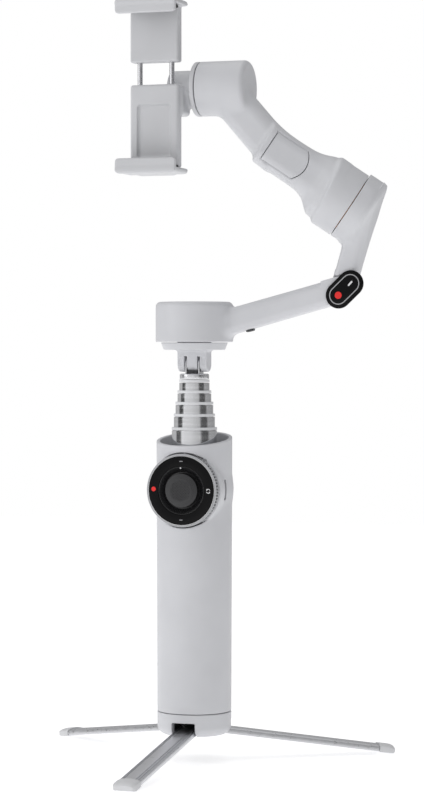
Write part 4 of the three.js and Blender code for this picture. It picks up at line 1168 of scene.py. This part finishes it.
top_jaw = field_piece("jaw_shell_upper", jaw_field(1), (-28, -39, ZC + 11.2), (4.4, -17.9, ZC + 42.6), 0.42,
                      clamp_grey)
settle(top_jaw, "jaw", "clamp_grey", "jaw_upper")
low_jaw = field_piece("jaw_shell_lower", jaw_field(-1), (-28, -39, ZC - 42.6), (4.4, -17.9, ZC - 33.2), 0.42,
                      clamp_grey)
settle(low_jaw, "clamp", "clamp_grey", "jaw_lower")
for sign, name, body in ((1, "upper", "jaw"), (-1, "lower", "clamp")):
    edge = ZC + sign * 37.0
    pad_frame = Frame((CLAMP_X, PHONE_Y + 0.4, edge), (0, 0, sign), (1, 0, 0))
    pad = prism("grip_pad_" + name, rounded_rect(26, 10, 2.0), 0.0, 1.1, pad_frame, pad_rubber, 0.3, 3)
    settle(pad, body, "black_rubber", "pad_" + name)

for name, look in (("leg_hub", dark_plastic), ("leg_pin_front", pin_metal), ("leg_pin_right", pin_metal),
                   ("leg_pin_left", pin_metal),
                   ("chassis", dark_plastic), ("battery", cell_blue), ("main_board", circuit_green),
                   ("charge_socket", socket_metal),
                   ("pod_base", dark_plastic), ("stick_yoke", pin_metal), ("trigger_pin", pin_metal),
                   ("neck_pin", pin_metal),
                   ("pan_stator", winding_copper), ("pan_magnets", magnet_steel), ("fold_pin", pin_metal),
                   ("badge_dot", red_gloss),
                   ("roll_stator", winding_copper), ("roll_magnets", magnet_steel),
                   ("tilt_stator", winding_copper),
                   ("guide_rod_left", pin_metal), ("guide_rod_right", pin_metal)):
    node = frame["nodes"][name]
    node.data.materials.clear()
    node.data.materials.append(look)


# ---------------------------------------------------------------- floor, light and camera
FLOOR_Z = -12.4 * MM
FLOOR_HALF = 1.6
FLOOR_GLOW = 0.5
ROOM_LIGHT = 0.62
CEILING_TONE = 0.9
ROOM_TONES = ((-180, 0.7), (-112, 0.9), (-99, 0.12), (-76, 0.12), (-66, 1.25), (-20, 1.15), (28, 0.8),
              (40, 0.16), (72, 0.16),
              (84, 0.62), (130, 0.55), (180, 0.7))
floor_mesh = bpy.data.meshes.new("floor")
floor_mesh.from_pydata([(-FLOOR_HALF, -FLOOR_HALF, FLOOR_Z), (FLOOR_HALF, -FLOOR_HALF, FLOOR_Z),
                        (FLOOR_HALF, FLOOR_HALF, FLOOR_Z), (-FLOOR_HALF, FLOOR_HALF, FLOOR_Z)], [],
                        [(0, 1, 2, 3)])
floor = bpy.data.objects.new("floor", floor_mesh)
bpy.context.scene.collection.objects.link(floor)
floor_look, floor_tree, floor_bsdf, floor_where = shader("studio_floor", (0.9, 0.9, 0.9), 0.7)
floor_tree.links.new(tones(floor_tree, noise(floor_tree, floor_where, 12), (0.90, 0.90, 0.905),
                           (0.92, 0.92, 0.925)),
                     floor_bsdf.inputs["Base Color"])
floor_bsdf.inputs["Roughness"].default_value = 0.8
floor_bsdf.inputs["Emission Color"].default_value = (1, 1, 1, 1)
floor_bsdf.inputs["Emission Strength"].default_value = FLOOR_GLOW
floor_mesh.materials.append(floor_look)


def studio_world():
    """An even pale room with two soft dark flags beside it, which shape the polished tubes."""
    world = bpy.data.worlds.new("studio")
    bpy.context.scene.world = world
    world.use_nodes = True
    tree = world.node_tree
    link = tree.links.new
    back = tree.nodes["Background"]
    back.inputs["Strength"].default_value = ROOM_LIGHT
    where = tree.nodes.new("ShaderNodeTexCoord").outputs["Generated"]

    def along(axis):
        dot = tree.nodes.new("ShaderNodeVectorMath")
        dot.operation = "DOT_PRODUCT"
        dot.inputs[1].default_value = axis
        link(where, dot.inputs[0])
        return dot.outputs["Value"]

    angle = tree.nodes.new("ShaderNodeMath")
    angle.operation = "ARCTAN2"
    link(along((0.9472, 0.3206, 0)), angle.inputs[0])
    link(along((0.3206, -0.9472, 0)), angle.inputs[1])
    round_about = tree.nodes.new("ShaderNodeMapRange")
    round_about.inputs["From Min"].default_value = -math.pi
    round_about.inputs["From Max"].default_value = math.pi
    link(angle.outputs["Value"], round_about.inputs["Value"])
    ramp = tree.nodes.new("ShaderNodeValToRGB")
    stops = ROOM_TONES
    elements = ramp.color_ramp.elements
    for degrees, tone in stops[1:-1]:
        elements.new((degrees + 180) / 360).color = (tone, tone, tone * 1.01, 1)
    for k in (0, -1):
        tone = stops[k][1]
        elements[k].color = (tone, tone, tone * 1.01, 1)
    link(round_about.outputs["Result"], ramp.inputs["Fac"])
    height = tree.nodes.new("ShaderNodeMapRange")
    height.interpolation_type = "SMOOTHSTEP"
    height.inputs["From Min"].default_value = 0.25
    height.inputs["From Max"].default_value = 0.75
    link(along((0, 0, 1)), height.inputs["Value"])
    mix = tree.nodes.new("ShaderNodeMix")
    mix.data_type = "RGBA"
    link(height.outputs["Result"], mix.inputs["Factor"])
    link(ramp.outputs["Color"], mix.inputs[6])
    mix.inputs[7].default_value = (CEILING_TONE, CEILING_TONE, CEILING_TONE, 1)
    link(mix.outputs[2], back.inputs["Color"])
    seen = tree.nodes.new("ShaderNodeBackground")
    seen.inputs["Color"].default_value = (1, 1, 1, 1)
    seen.inputs["Strength"].default_value = 1.0
    path = tree.nodes.new("ShaderNodeLightPath")
    choose = tree.nodes.new("ShaderNodeMixShader")
    link(path.outputs["Is Camera Ray"], choose.inputs["Fac"])
    link(back.outputs["Background"], choose.inputs[1])
    link(seen.outputs["Background"], choose.inputs[2])
    link(choose.outputs["Shader"], tree.nodes["World Output"].inputs["Surface"])


studio_world()


def soft_light(name, at, aim, wide, high, power):
    data = bpy.data.lights.new(name, "AREA")
    data.shape = "RECTANGLE"
    data.size = wide
    data.size_y = high
    data.energy = power
    lamp = bpy.data.objects.new(name, data)
    lamp.location = at
    lamp.rotation_euler = (Vector(aim) - Vector(at)).to_track_quat("-Z", "Y").to_euler()
    bpy.context.scene.collection.objects.link(lamp)


soft_light("key_left", (-1.4, -0.9, 0.9), (0, 0, 0.2), 0.9, 1.5, 7)
soft_light("top", (-0.2, 0.1, 1.7), (0, 0, 0.2), 1.4, 1.4, 5)

camera_data = bpy.data.cameras.new("camera")
camera = bpy.data.objects.new("camera", camera_data)
bpy.context.scene.collection.objects.link(camera)
camera_data.sensor_fit = "VERTICAL"
camera_data.sensor_height = 36
camera_data.lens = 116.64
camera_data.shift_x = 0.0219
camera_data.shift_y = -0.0688
camera.location = (0.3995, -1.1802, 0.1866)
camera.rotation_euler = Vector((-0.3206, 0.9472, 0)).to_track_quat("-Z", "Y").to_euler()
bpy.context.scene.camera = camera
bpy.context.scene.view_settings.view_transform = "Standard"
